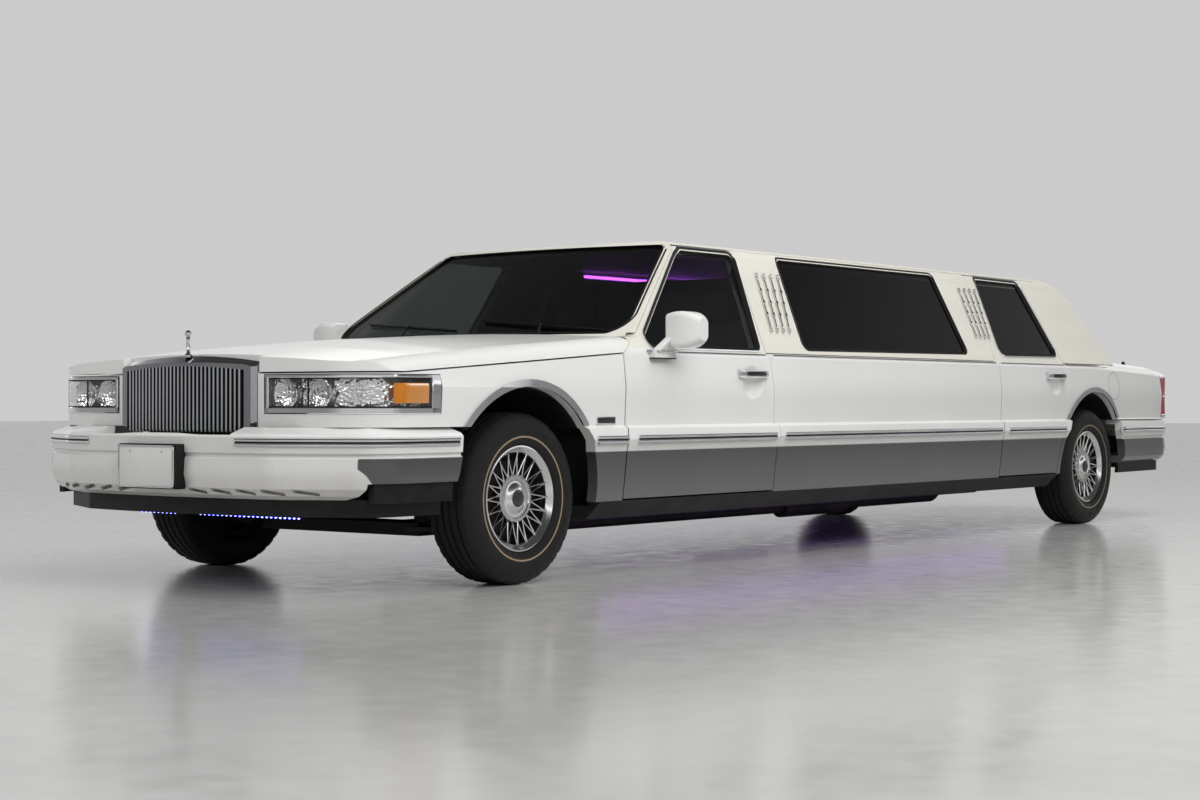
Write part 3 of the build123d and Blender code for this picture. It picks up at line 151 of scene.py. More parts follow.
def paint(name, split_z, patch=None, curve=(0.69, 0.83, -0.05, 0.11), band=(0.600, 0.905), reach=0.10):
    """White enamel, with satin dark grey below split_z that lightens downwards as a painted reflection of
    the floor.

    patch is (x, y) where the grey stays outside that y and behind a slanted edge that meets
    split_z at that x. curve, band and reach are those of rounded_normal.
    """
    white_1, white_2, road_dust = (0.80, 0.80, 0.785), (0.765, 0.765, 0.745), (0.60, 0.58, 0.54)
    grey_1, grey_painted_floor_reflection = (0.062, 0.062, 0.064), (0.135, 0.135, 0.138)
    edge, slant = 0.002, 0.7
    s = Shader(name)
    z = s.axis("Z")
    white = s.mix(s.ramp(s.noise(1.3, 3.0), 0.3, 0.7), white_1, white_2)
    white = s.mix(s.math("MULTIPLY", s.ramp(z, 0.62, 0.32), s.noise(9.0)), white, road_dust)
    # The grey lightens towards the bottom as a painted reflection of the pale floor, with a cloudy edge.
    cloudy_z = s.math("MULTIPLY_ADD", s.noise(4.0), 0.06, z)
    grey = s.mix(s.ramp(cloudy_z, 0.52, 0.30), grey_1, grey_painted_floor_reflection)
    low = s.ramp(z, split_z + edge, split_z - edge)
    if patch:
        front = s.math("MULTIPLY_ADD", z, slant, patch[0] - slant * split_z)
        behind = s.ramp(s.math("SUBTRACT", s.axis("X"), front), edge, -edge)
        outside = s.ramp(s.math("ABSOLUTE", s.axis("Y")), patch[1] - edge, patch[1] + edge)
        low = s.math("MULTIPLY", low, s.math("MULTIPLY", behind, outside))
    s.set(Base_Color=s.mix(low, white, grey), Roughness=s.ramp(low, 0.0, 1.0, 0.30, 0.22))
    s.set(Coat_Weight=0.4, Coat_Roughness=0.06)
    s.bump(s.noise(900.0, 2.0), 0.03, 0.0004, rounded_normal(s, z, curve, band, reach))
    return s.mat


def speckled(name, base, other, scale, rough, bump, metallic=0.0, specular=0.5):
    """A plain finish with soft colour and roughness variation."""
    s = Shader(name)
    grain = s.noise(scale)
    s.set(Base_Color=s.mix(s.ramp(s.noise(scale / 40), 0.35, 0.7), base, other))
    s.set(Roughness=s.ramp(grain, 0.3, 0.7, *rough), Metallic=metallic, Specular_IOR_Level=specular)
    s.bump(grain, bump, 0.0005)
    return s.mat


def vinyl():
    """Padded vinyl with a fine leather grain and faint pulls."""
    s = Shader("cream_vinyl")
    grain = s.cells(420.0)
    pulls = s.noise(3.0, 3.0, stretch=(0.4, 2.0, 2.0))
    s.set(Base_Color=s.mix(s.ramp(pulls, 0.3, 0.75), (0.72, 0.70, 0.63), (0.66, 0.64, 0.57)))
    s.set(Roughness=s.ramp(grain, 0.0, 0.6, 0.62, 0.45))
    s.bump(grain, 0.35, 0.0006)
    return s.mat


def shaded(tint, share):
    return tuple(c * share for c in tint)


def glass(name, tint, rough=0.01, solid=0.0):
    """Tinted glass with a faint film. solid is the share of it that is plain coloured plastic."""
    s = Shader(name)
    film = s.noise(6.0)
    s.set(Base_Color=s.mix(film, tint, shaded(tint, 0.92)))
    s.set(Roughness=s.ramp(film, 0.2, 0.8, rough, rough + 0.015))
    s.set(Transmission_Weight=1.0 - solid, IOR=1.45)
    return s.mat


def rubber():
    """Dusty tyre rubber."""
    s = Shader("tyre_rubber")
    dust = s.noise(40.0)
    s.set(Base_Color=s.mix(dust, (0.007, 0.007, 0.007), (0.017, 0.0165, 0.016)))
    s.set(Roughness=s.ramp(dust, 0.3, 0.7, 0.45, 0.65), Specular_IOR_Level=0.3)
    s.bump(s.noise(500.0), 0.2, 0.0006)
    return s.mat


def reflector():
    """Lamp reflector: bright metal with pressed facets."""
    s = Shader("lamp_reflector")
    s.set(Base_Color=s.mix(s.noise(60.0), (0.88, 0.88, 0.88), (0.70, 0.70, 0.70)))
    s.set(Roughness=s.ramp(s.noise(200.0), 0.3, 0.7, 0.08, 0.2), Metallic=1.0)
    s.bump(s.cells(70.0), 0.9, 0.004)
    return s.mat


def glow(name, tint, strength):
    """The lit surface of a show light."""
    s = Shader(name)
    pulse = s.noise(120.0)
    s.set(Base_Color=s.mix(pulse, tint, shaded(tint, 0.8)))
    s.set(Roughness=s.ramp(pulse, 0.2, 0.8, 0.2, 0.4))
    s.set(Emission_Color=tint, Emission_Strength=strength)
    return s.mat


def wood():
    """Polished dark wood."""
    s = Shader("cabinet_wood")
    rings = s.noise(6.0, 6.0, stretch=(0.6, 8.0, 8.0))
    s.set(Base_Color=s.mix(rings, (0.13, 0.045, 0.02), (0.045, 0.016, 0.008)))
    s.set(Roughness=s.ramp(rings, 0.3, 0.7, 0.12, 0.25), Coat_Weight=0.4, Coat_Roughness=0.08)
    s.bump(rings, 0.05, 0.0005)
    return s.mat


# Finishes, given as two colours, the grain's scale, the roughness, the bump and the metallic share
POLISH = (160.0, (0.03, 0.08), 0.02, 1.0)
CHROME = speckled("bright_chrome", (0.80, 0.81, 0.83), (0.66, 0.67, 0.69), *POLISH)
# The grille's chrome is darker than the bright chrome: a painted dark reflection.
GRILLE_CHROME_PAINTED_DARK = speckled("grille_chrome_painted_dark", (0.45, 0.46, 0.48), (0.36, 0.37, 0.39), *POLISH)
SILVER = speckled("mirror_silver", (0.86, 0.87, 0.88), (0.80, 0.81, 0.82), 60.0, (0.01, 0.03), 0.01, 1.0)
ALLOY = speckled("polished_alloy", (0.80,) * 3, (0.66,) * 3, 220.0, (0.10, 0.24), 0.06, 1.0)
BLACK = speckled("black_plastic", (0.006,) * 3, (0.013,) * 3, 600.0, (0.4, 0.6), 0.25, specular=0.3)
GASKET = speckled("window_rubber", (0.007,) * 3, (0.013,) * 3, 400.0, (0.35, 0.5), 0.15, specular=0.3)
DARK = speckled("dark_gloss", (0.020, 0.020, 0.022), (0.032, 0.032, 0.034), 90.0, (0.06, 0.14), 0.03)
TRIM = speckled("inner_trim", (0.16, 0.145, 0.125), (0.12, 0.11, 0.095), 300.0, (0.5, 0.7), 0.3)
LEATHER = speckled("seat_leather", (0.26, 0.235, 0.20), (0.20, 0.18, 0.155), 500.0, (0.4, 0.55), 0.3)
PLATE = speckled("plate_enamel", (0.78, 0.78, 0.76), (0.70, 0.70, 0.68), 120.0, (0.25, 0.4), 0.08)
TAN = speckled("tyre_band", (0.30, 0.235, 0.15), (0.24, 0.19, 0.12), 60.0, (0.5, 0.7), 0.2)
# Dark iron, partly the drums' own colour and partly painted shade inside the wheels
DRUM_AND_SHADE = speckled("dark_iron_and_painted_shade", (0.020, 0.019, 0.018), (0.040, 0.034, 0.030), 80.0, (0.45, 0.7), 0.3, 0.6)
STEEL = speckled("chassis_steel", (0.022,) * 3, (0.05, 0.044, 0.038), 200.0, (0.5, 0.75), 0.3, 0.4)
COAT = speckled("underbody_coat", (0.018,) * 3, (0.03, 0.028, 0.027), 300.0, (0.7, 0.9), 0.5)
DASH = speckled("dash_plastic", (0.045, 0.042, 0.038), (0.06, 0.056, 0.05), 500.0, (0.5, 0.7), 0.3)
VINYL, RUBBER, REFLECTOR = vinyl(), rubber(), reflector()
CLEAR = glass("clear_lens", (0.97, 0.98, 0.98))
RED = glass("red_lens", (0.62, 0.018, 0.018), solid=0.55)
AMBER = glass("amber_lens", (0.80, 0.30, 0.02), 0.05, solid=0.6)
FRONT_TINT = glass("front_tint", (0.34, 0.38, 0.37))
PURPLE = glow("violet_tube", (0.42, 0.10, 1.0), 5.0)
CABIN_PURPLE = glow("cabin_violet_tube", (0.50, 0.08, 1.0), 22.0)
BLUE = glow("blue_diode", (0.13, 0.15, 1.0), 10.0)
MATS = {
    "white_paint": paint("white_enamel", CLADDING_Z),
    "cream_vinyl": VINYL,
    "tinted_glass": glass("dark_tint", (0.020, 0.022, 0.025)),
    "chrome": CHROME,
    "polished_alloy": ALLOY,
    "tyre_rubber": RUBBER,
    "black_plastic": BLACK,
    "clear_lamp": CLEAR,
    "red_lamp": RED,
    "chassis_steel": STEEL,
    "underbody": COAT,
    "seat_leather": LEATHER,
    "cabinet_wood": wood(),
}
# Nodes whose finish differs from the rest of their slot
OWN = {
    "windshield": glass("screen_tint", (0.16, 0.18, 0.175)),
    "front_door_glass_left": FRONT_TINT,
    "front_door_glass_right": FRONT_TINT,
    "front_bumper": paint(
        "front_bumper_enamel", 0.502, patch=(3.642, 0.85),
        curve=(0.400, 0.475, -0.26, 0.07), band=(0.388, 0.500), reach=0.22,
    ),
    "rear_bumper": paint(
        "rear_bumper_enamel", 0.487, curve=(0.395, 0.465, -0.17, 0.07), band=(0.376, 0.486), reach=0.22
    ),
    "grille": GRILLE_CHROME_PAINTED_DARK,
    "headlamps": CLEAR,
    "lamp_housings": REFLECTOR,
    "dashboard": DASH,
}
slot_of = {row["node"]: row["material_slot"] for row in frame["record"]["subparts"]}
for name, node in nodes.items():
    node.data.materials.clear()
    node.data.materials.append(OWN.get(name) or MATS[slot_of[name]])

# Door faces above the belt are padded vinyl, and their inner faces cabin trim
INNER_Y, PILLAR_Y = 0.862, 0.93
DOOR_FOOT_Z = 0.32
for row in ("front", "rear"):
    for side_name in SIDES:
        mesh = nodes[f"{row}_door_{side_name}"].data
        mesh.materials.append(VINYL)
        mesh.materials.append(TRIM)
        for face in mesh.polygons:
            out, z = abs(face.center.y), face.center.z
            inward = face.normal.y * face.center.y < 0
            if inward and z > DOOR_FOOT_Z and out < INNER_Y:
                face.material_index = 2
            elif z > BELT_Z + 0.003 and out < PILLAR_Y:
                face.material_index = 1
# The roof's faces towards a line through the cabin's middle are trim
LINE_START, LINE_END, LINE_Z = -2.2, 1.5, 1.1
roof_mesh = nodes["roof"].data
roof_mesh.materials.append(TRIM)
for face in roof_mesh.polygons:
    middle = Vector((min(max(face.center.x, LINE_START), LINE_END), 0, LINE_Z))
    if face.normal.dot(face.center - middle) < 0:
        face.material_index = 1


# Geometry helpers
SHARP_ANGLE = math.radians(38)


def new_object(name, data):
    """A new object in the scene."""
    thing = bpy.data.objects.new(name, data)
    bpy.context.scene.collection.objects.link(thing)
    return thing


def spaced(start, end, count):
    """Even steps from start to end, both included."""
    return [start + (end - start) * i / count for i in range(count + 1)]


def turns(count):
    """Even angles round a whole turn."""
    return [2 * math.pi * i / count for i in range(count)]


def oval(wide, deep, sides=8):
    return [(wide * math.cos(t), deep * math.sin(t)) for t in turns(sides)]


class Piece:
    """Collects grids of quads into one mesh. The mark picks the material of what is added next."""

    def __init__(self):
        self.verts, self.faces, self.marks = [], [], []
        self.mark = 0

    def put(self, verts, faces):
        start = len(self.verts)
        self.verts += [tuple(v) for v in verts]
        self.faces += [[start + i for i in face] for face in faces]
        self.marks += [self.mark] * len(faces)

    def grid(self, rows, closed_u=False, closed_v=False, caps=False):
        """Quads between rows of points.

        closed_u joins the last row to the first, closed_v each row's ends, and caps fill both ends.
        """
        n, m = len(rows), len(rows[0])
        faces = []
        for i in range(n if closed_u else n - 1):
            for j in range(m if closed_v else m - 1):
                a, b = i * m + j, i * m + (j + 1) % m
                c, d = ((i + 1) % n) * m + (j + 1) % m, ((i + 1) % n) * m + j
                faces.append([a, b, c, d])
        if caps:
            faces.append(list(range(m))[::-1])
            faces.append([(n - 1) * m + j for j in range(m)])
        self.put([p for row in rows for p in row], faces)

    def sweep(self, points, normals, profile, closed=False):
        """A profile of (across, out) carried along points, with out along the normals."""
        rows = []
        n = len(points)
        for i, (p, normal) in enumerate(zip(points, normals)):
            ahead = points[(i + 1) % n] if closed or i + 1 < n else points[i]
            behind = points[i - 1] if closed or i else points[i]
            along = (ahead - behind).normalized()
            out = (normal - along * normal.dot(along)).normalized()
            across = along.cross(out)
            rows.append([p + across * a + out * c for a, c in profile])
        self.grid(rows, closed_u=closed, closed_v=True, caps=not closed)

    def tube(self, points, radius, sides=8):
        first = (points[1] - points[0]).normalized()
        up = Vector(UP) if abs(first.z) < 0.9 else Vector(AHEAD)
        self.sweep(points, [up] * len(points), oval(radius, radius, sides))

    def lathe(self, profile, foot, axis, segments, wobble=None, caps=True):
        """A profile of (along, radius) turned about an axis through the foot point."""
        axis = Vector(axis).normalized()
        side = axis.orthogonal().normalized()
        other = axis.cross(side)
        rows = []
        for i, (along, radius) in enumerate(profile):
            row = []
            for j, t in enumerate(turns(segments)):
                r = radius + (wobble(i, j) if wobble else 0.0)
                away = (side * math.cos(t) + other * math.sin(t)) * r
                row.append(Vector(foot) + axis * along + away)
            rows.append(row)
        self.grid(rows, closed_v=True, caps=caps)

    def block(self, low, high, bevel, steps=2, turn=None):
        """A box with rounded edges, turned by a matrix about its centre where one is given."""
        low, high = Vector(low), Vector(high)
        centre, size = (low + high) / 2, high - low
        bm = bmesh.new()
        bmesh.ops.create_cube(bm, size=1.0)
        bmesh.ops.scale(bm, vec=size, verts=bm.verts)
        bmesh.ops.bevel(
            bm, geom=bm.edges[:], offset=bevel, segments=steps, affect="EDGES", profile=0.5
        )
        if turn:
            bmesh.ops.transform(bm, matrix=turn.to_4x4(), verts=bm.verts)
        bm.verts.index_update()
        self.put([v.co + centre for v in bm.verts], [[v.index for v in f.verts] for f in bm.faces])
        bm.free()

    def build(self, name, body, slot, *mats, side=1):
        """Makes the piece on its body, as its mirror image where side is -1."""
        mesh = bpy.data.meshes.new(name)
        faces = [face[::-1] for face in self.faces] if side < 0 else self.faces
        mesh.from_pydata([(x, y * side, z) for x, y, z in self.verts], [], faces)
        for mat in mats:
            mesh.materials.append(mat)
        for face, mark in zip(mesh.polygons, self.marks):
            face.material_index = mark
            face.use_smooth = True
        mesh.set_sharp_from_angle(angle=SHARP_ANGLE)
        piece = new_object(name, mesh)
        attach(piece, body)
        return piece


def both_sides(piece, name, body, slot, *mats):
    """Builds a left-hand piece and its mirror image, each on its own side's body."""
    for side_name, side in SIDES.items():
        piece.build(f"{name}_{side_name}", body.format(side_name), slot, *mats, side=side)


def tree_of(*names):
    """A search tree over the surfaces of some CAD nodes."""
    verts, faces = [], []
    for name in names:
        start = len(verts)
        verts += [v.co.copy() for v in nodes[name].data.vertices]
        faces += [[start + i for i in p.vertices] for p in nodes[name].data.polygons]
    return BVHTree.FromPolygons(verts, faces)


def cast(tree, origin, direction):
    """The first surface point on a ray and its normal towards the ray's start, or None."""
    direction = Vector(direction).normalized()
    point, normal = tree.ray_cast(Vector(origin), direction)[:2]
    if point is None:
        return None
    return point, normal if normal.dot(direction) < 0 else -normal


def hit(tree, origin, direction):
    """As cast, for a ray that has to meet the surface."""
    found = cast(tree, origin, direction)
    if found is None:
        raise ValueError(f"no surface from {tuple(origin)} along {tuple(direction)}")
    return found


def trace(tree, rays):
    """Points and normals where rays meet a surface; rays that miss it are left out."""
    found = [pair for pair in (cast(tree, *ray) for ray in rays) if pair]
    if len(found) < 2:
        raise ValueError(f"no surface for a line from {tuple(rays[0][0])}")
    return [p for p, n in found], [n for p, n in found]


def side_line(tree, x_start, x_end, z, count=30):
    """Points and normals on the left flank at one height."""
    return trace(tree, [((x, RAY_REACH, z), RIGHT) for x in spaced(x_start, x_end, count)])


def corner_ray(middle, angle, z):
    """A level ray from outside to a corner's middle (x, y), at a plan angle in degrees."""
    t = math.radians(angle)
    out = Vector((math.cos(t), math.sin(t), 0))
    return Vector((*middle, z)) + out * RAY_REACH, -out


def corner_line(tree, middle, start, end, z, count):
    """Points and normals round a corner at one height, between two plan angles."""
    return trace(tree, [corner_ray(middle, angle, z) for angle in spaced(start, end, count)])


def walk(ahead, start, used):
    """The corners met in turn from start, along edges, as long as they are new."""
    loop, here = [], start
    while here is not None:
        used.add(here)
        loop.append(here)
        here = next((v for v in ahead[here] if v not in used), None)
    return loop


def outer_loops(name, outward):
    """The edges of a glass sheet's outer face, as closed loops of (point, normal)."""
    bm = bmesh.new()
    bm.from_mesh(nodes[name].data)
    bmesh.ops.remove_doubles(bm, verts=bm.verts, dist=1e-5)
    bm.normal_update()
    kept = {f for f in bm.faces if f.normal.dot(Vector(outward)) > 0.45}
    ahead = {}
    for e in bm.edges:
        if sum(f in kept for f in e.link_faces) == 1:
            a, b = e.verts
            ahead.setdefault(a, []).append(b)
            ahead.setdefault(b, []).append(a)
    loops, used = [], set()
    for start in ahead:
        loop = [] if start in used else walk(ahead, start, used)
        if len(loop) > 8:
            normals = []
            for v in loop:
                near = [f.normal for f in v.link_faces if f in kept]
                normals.append(sum(near, Vector()).normalized())
            loops.append(([v.co.copy() for v in loop], normals))
    bm.free()
    return loops


def outward_loop(points, normals):
    """The loop in even steps, turned so that a sweep's across side faces away from its middle."""
    merge, step = 0.0012, 0.048
    pairs = enumerate(zip(points, normals))
    kept = [(p, n) for i, (p, n) in pairs if (p - points[i - 1]).length > merge]
    even = []
    for i, (p, n) in enumerate(kept):
        q, m = kept[(i + 1) % len(kept)]
        parts = max(1, round((q - p).length / step))
        for k in range(parts):
            even.append((p.lerp(q, k / parts), n.lerp(m, k / parts).normalized()))
    middle = sum((p for p, n in even), Vector()) / len(even)
    score = 0.0
    for i, (p, n) in enumerate(even):
        along = even[(i + 1) % len(even)][0] - even[i - 1][0]
        score += along.cross(n).dot(p - middle)
    if score < 0:
        even.reverse()
    return [p for p, n in even], [n for p, n in even]


FLANK = {
    "fender": tree_of("front_fenders"),
    "front_door": tree_of("front_door_left"),
    "centre": tree_of("centre_side_panels"),
    "rear_door": tree_of("rear_door_left"),
    "quarter": tree_of("rear_body"),
    "roof": tree_of("roof"),
}


# Ridged chrome strips along the flanks and round the bumpers
def groove(half, out):
    """The profile of a flat dark line."""
    return [(-half, -0.001), (-half, out), (half, out), (half, -0.001)]


def add_strip(piece, points, normals, half=0.0165):
    """Two rounded ribs side by side on a thin back, with a dark groove between them."""
    width = (half - 0.0022) / 2
    ribs = []
    for middle in (-half + width, half - width):
        for t in spaced(math.pi, 0.0, 6):
            ribs.append((middle + width * math.cos(t), 0.002 + 0.0065 * math.sin(t)))
    piece.mark = 0
    piece.sweep(points, normals, [(-half, -0.003), *ribs, (half, -0.003)])
    piece.mark = 1
    piece.sweep(points, normals, groove(0.0024, 0.0035))


for name, part, body, x_start, x_end in (
    ("fender_strip", "fender", "car", 2.372, 2.167),
    ("front_door_strip", "front_door", "front_door_{}", 2.104, 1.065),
    ("centre_strip", "centre", "car", 0.990, -1.150),
    ("rear_door_strip", "rear_door", "rear_door_{}", -1.239, -1.945),
):
    strip = Piece()
    add_strip(strip, *side_line(FLANK[part], x_start, x_end, STRIP_Z))
    both_sides(strip, name, body, "chrome", CHROME, BLACK)
for name, middle, start, end, z, half in (
    ("front_bumper", (2.9, 0.0), 24.7, 73.6, 0.5585, 0.0145),
    ("rear_bumper", (-3.1, 0.0), 70.0, 155.0, 0.543, 0.0155),
):
    strip = Piece()
    add_strip(strip, *corner_line(tree_of(name), middle, start, end, z, 60), half)
    both_sides(strip, f"{name}_strip", "car", "chrome", CHROME, BLACK)

# Bright trim along the belt, below the vinyl
BELT_TRIM = [
    (-0.006, -0.003), (-0.006, 0.001), (-0.004, 0.0045), (0.0, 0.006),
    (0.004, 0.0045), (0.006, 0.001), (0.006, -0.003),
]
for name, part, body, x_start, x_end in (
    ("front_belt_trim", "front_door", "front_door_{}", 1.992, 1.050),
    ("centre_belt_trim", "centre", "car", 1.018, -1.176),
    ("rear_belt_trim", "rear_door", "rear_door_{}", -1.232, -2.016),
    ("quarter_belt_trim", "quarter", "car", -2.046, -2.600),
):
    trim = Piece()
    trim.sweep(*side_line(FLANK[part], x_start, x_end, BELT_TRIM_Z), BELT_TRIM)
    both_sides(trim, name, body, "chrome", CHROME)

# Window surrounds: rubber by the glass, and a bright bead round the doors' and the back window
RUBBER_RING = [
    (-0.009, -0.001), (-0.009, 0.003), (0.000, 0.0115), (0.008, 0.0135), (0.011, 0.010), (0.011, -0.001)
]
BRIGHT_RING = [(0.010, 0.008), (0.0105, 0.0135), (0.0135, 0.0165), (0.0175, 0.0155), (0.0185, 0.008)]
SCREEN_RING = [
    (-0.022, 0.0005), (-0.022, 0.002), (-0.006, 0.004), (0.000, 0.0115), (0.008, 0.0130), (0.011, -0.001)
]
SIDEWAYS = (0, 1, 0.4)
for node, name, body, outward, bright, ring in (
    ("front_door_glass_left", "front_window_ring", "front_door_{}", SIDEWAYS, True, RUBBER_RING),
    ("rear_door_glass_left", "rear_window_ring", "rear_door_{}", SIDEWAYS, True, RUBBER_RING),
    ("side_windows", "centre_window_ring", "car", SIDEWAYS, False, RUBBER_RING),
    ("windshield", "windshield_ring", "car", (1, 0, 1), False, SCREEN_RING),
    ("rear_window", "back_window_ring", "car", (-1, 0, 0.6), True, SCREEN_RING),
):
    surround = Piece()
    for loop in outer_loops(node, outward):
        points, normals = outward_loop(*loop)
        surround.mark = 0
        surround.sweep(points, normals, ring, closed=True)
        if bright:
            surround.mark = 1
            surround.sweep(points, normals, BRIGHT_RING, closed=True)
    make = both_sides if outward is SIDEWAYS else Piece.build
    make(surround, name, body, "black_plastic", GASKET, CHROME)


# Beaded bright rods on the padded pillars
def side_plane(x, z, out):
    """A point on the leaning side above the belt, lifted off it."""
    lean = Vector((0, 1, 0.5)).normalized()
    return Vector((x, 0.905 - 0.5 * (z - 0.93), z)) + lean * out


ROD_END = [(0.0, 0.0015), (0.004, 0.006), (0.012, 0.0085), (0.020, 0.005), (0.026, 0.0075), (0.032, 0.0035)]
ROD_BEAD = [(-0.014, 0.0035), (-0.007, 0.0065), (0.0, 0.0085), (0.007, 0.0065), (0.014, 0.0035)]
rods = Piece()
for top_x, top_step, top_z, low_x, low_step, low_z in (
    (0.679, 0.0603, 1.298, 0.784, 0.0513, 1.020),
    (-1.315, 0.0593, 1.317, -1.236, 0.0493, 1.041),
):
    for k in range(4):
        foot = side_plane(low_x + low_step * k, low_z, 0.007)
        tip = side_plane(top_x + top_step * k, top_z, 0.007)
        length = (tip - foot).length
        beads = [(length * share + a, r) for share in (0.30, 0.50, 0.70) for a, r in ROD_BEAD]
        profile = ROD_END + beads + [(length - a, r) for a, r in reversed(ROD_END)]
        rods.lathe(profile, foot, tip - foot, 12)
both_sides(rods, "pillar_rods", "car", "chrome", CHROME)


# Pull handles over the CAD grips, with a dark inlay and a lock
def handle_face(dx):
    """The y of a handle's bowed face, at dx from its middle."""
    return 0.976 - 0.020 * (dx / 0.114) ** 2


def squared(value):
    """A sine or cosine pushed out, for a ring between an ellipse and a box."""
    return math.copysign(abs(value) ** 0.55, value)


for row, middle, z in (("front", 1.218, 0.829), ("rear", -1.868, 0.851)):
    grip = Piece()
    rings = []
    for dx in spaced(-0.1185, 0.1185, 48):
        end = min(1.0, max(0.0, (abs(dx) - 0.1145) / 0.0042))
        half = 0.0185 * math.sqrt(max(0.03, 1 - end ** 2))
        outer = handle_face(dx) + 0.0012 - 0.010 * end ** 2
        inner = 0.930 if abs(dx) > 0.086 else 0.9595 - 0.012 * (dx / 0.088) ** 2
        ring = []
        for t in turns(20):
            out = (outer + inner) / 2 + (outer - inner) / 2 * squared(math.cos(t))
            ring.append(Vector((middle + dx, out, z + half * squared(math.sin(t)))))
        rings.append(ring)
    grip.grid(rings, closed_v=True, caps=True)
    grip.mark = 1
    inlay = []
    for dx in spaced(-0.078, 0.078, 24):
        half = 0.0105 * math.sqrt(max(0.05, 1 - (abs(dx) / 0.0785) ** 10))
        edge = ((-1, 0.0), (-0.8, 0.0026), (0.8, 0.0026), (1, 0.0))
        inlay.append([Vector((middle + dx, handle_face(dx) + o, z + s * half)) for s, o in edge])
    grip.grid(inlay)
    grip.mark = 0
    lock = [(0.0, 0.008), (0.004, 0.008), (0.0055, 0.006)]
    grip.lathe(lock, (middle - 0.098, 0.9575, z), LEFT, 20)
    both_sides(grip, f"{row}_pull", f"{row}_door_{{}}", "chrome", CHROME, DARK)

# Mirror glass in its bezel, and the rubber seat under the mirror's foot
mirror = Piece()
turn = Matrix.Rotation(math.radians(-3.2), 3, "Z")
mirror.block((1.7975, 0.978, 0.946), (1.8085, 1.103, 1.062), 0.006, 3, turn)
mirror.mark = 1
mirror.block((1.7955, 0.984, 0.952), (1.8055, 1.097, 1.056), 0.004, 3, turn)
mirror.mark = 0
mirror.block((1.8300, 0.925, 0.8835), (1.9820, 0.9675, 0.8885), 0.002)
both_sides(mirror, "mirror_glass", "front_door_{}", "black_plastic", BLACK, SILVER)

# Blank badge on the fenders and the fuel door's seam
badge = Piece()
y = hit(FLANK["fender"], (2.281, RAY_REACH, 0.6305), RIGHT)[0].y
badge.block((2.220, y - 0.004, 0.615), (2.342, y + 0.0035, 0.646), 0.0015)
badge.mark = 1
badge.block((2.2235, y - 0.002, 0.6185), (2.3385, y + 0.0045, 0.6425), 0.001)
both_sides(badge, "fender_badge", "car", "chrome", CHROME, DARK)
seam = Piece()
rays = [((-2.68 + dx, RAY_REACH, 0.80 + dz), RIGHT) for dx, dz in oval(0.08, 0.08, 56)]
seam.sweep(*trace(FLANK["quarter"], rays), groove(0.0009, 0.0004), closed=True)
seam.build("fuel_door_seam", "car", "black_plastic", GASKET)

# Drip bead and seams of the padded roof
bead = Piece()
bead.sweep(*side_line(FLANK["roof"], 1.36, -2.16, 1.402, 60), oval(0.0045, 0.0045))
both_sides(bead, "roof_bead", "car", "cream_vinyl", VINYL)
seams = Piece()
for x in (1.02, -1.24, -2.05):
    points, normals = trace(FLANK["roof"], [((x, y, 2.0), DOWN) for y in spaced(-0.60, 0.60, 40)])
    sunk = [p - n * 0.0008 for p, n in zip(points, normals)]
    seams.sweep(sunk, normals, oval(0.0045 * 0.6, 0.0045 * 0.25))
seams.build("roof_seams", "car", "cream_vinyl", VINYL)

# Grille: a black sheet behind as painted shade for the radiator and engine bay, a rounded nose on each bar,
# and the plain beaded ornament
BAR_COUNT, GRILLE_HALF, GRILLE_FOOT_Z = 30, 0.326, 0.600
BAR_NOSE = [(0.0048 * math.cos(t), 0.0062 * math.sin(t)) for t in spaced(0.0, math.pi, 6)]
grille = Piece()
# The black sheet behind the bars is painted shade where one would see into the engine bay.
grille.mark = 1
grille.block((3.596, -0.330, GRILLE_FOOT_Z), (3.606, 0.330, 0.832), 0.001)
grille.mark = 0
for y in spaced(-GRILLE_HALF, GRILLE_HALF, BAR_COUNT + 1)[1:-1]:
    x = 0.910 + math.sqrt(2.78 ** 2 - y ** 2) - 0.0015
    top = 0.822 + 0.016 * (1 - (y / GRILLE_HALF) ** 2)
    bar = [Vector((x, y, GRILLE_FOOT_Z)), Vector((x, y, top))]
    grille.sweep(bar, [Vector(AHEAD)] * 2, BAR_NOSE)
grille.build("grille_bars", "car", "chrome", GRILLE_CHROME_PAINTED_DARK, BLACK)
# The flanks of the CAD bars are dark: painted shade, as the gaps between the real ones look
grille_mesh = nodes["grille"].data
grille_mesh.materials.append(DARK)
for face in grille_mesh.polygons:
    between_bars = abs(face.center.y) < 0.324 and GRILLE_FOOT_Z < face.center.z < 0.838
    if between_bars and abs(face.normal.y) > 0.8:
        face.material_index = 1
ornament = Piece()
ornament.lathe(
    [(0.0, 0.017), (0.004, 0.0175), (0.007, 0.012), (0.012, 0.0085), (0.040, 0.0068), (0.058, 0.0066),
     (0.066, 0.0095), (0.072, 0.0070), (0.080, 0.0120), (0.088, 0.0135), (0.095, 0.0100), (0.0985, 0.0040)],
    (3.650, 0, 0.876), UP, 24,
)
ornament.build("hood_ornament", "car", "chrome", CHROME)

# Headlamps: bright frames on the lens, reflector bowls in the housing and amber side blocks
LAMP_MIDDLE = (3.10, 0.30)
lens_tree = tree_of("headlamps")
housing_tree = tree_of("lamp_housings")
lamp_frame = Piece()


def flat_band(half, out=0.0045):
    """The profile of a flat strip with bevelled edges."""
    side = [(-half, -0.002), (-half, 0.002), (-half + 0.003, out)]
    return side + [(-a, c) for a, c in reversed(side)]


def lens_rail(z, half, *out):
    points, normals = corner_line(lens_tree, LAMP_MIDDLE, 11.6, 76.6, z, 44)
    lamp_frame.sweep(points, normals, flat_band(half, *out))


def lens_post(angle, low, high, half, *out):
    rays = [corner_ray(LAMP_MIDDLE, angle, z) for z in spaced(low, high, 8)]
    lamp_frame.sweep(*trace(lens_tree, rays), flat_band(half, *out))


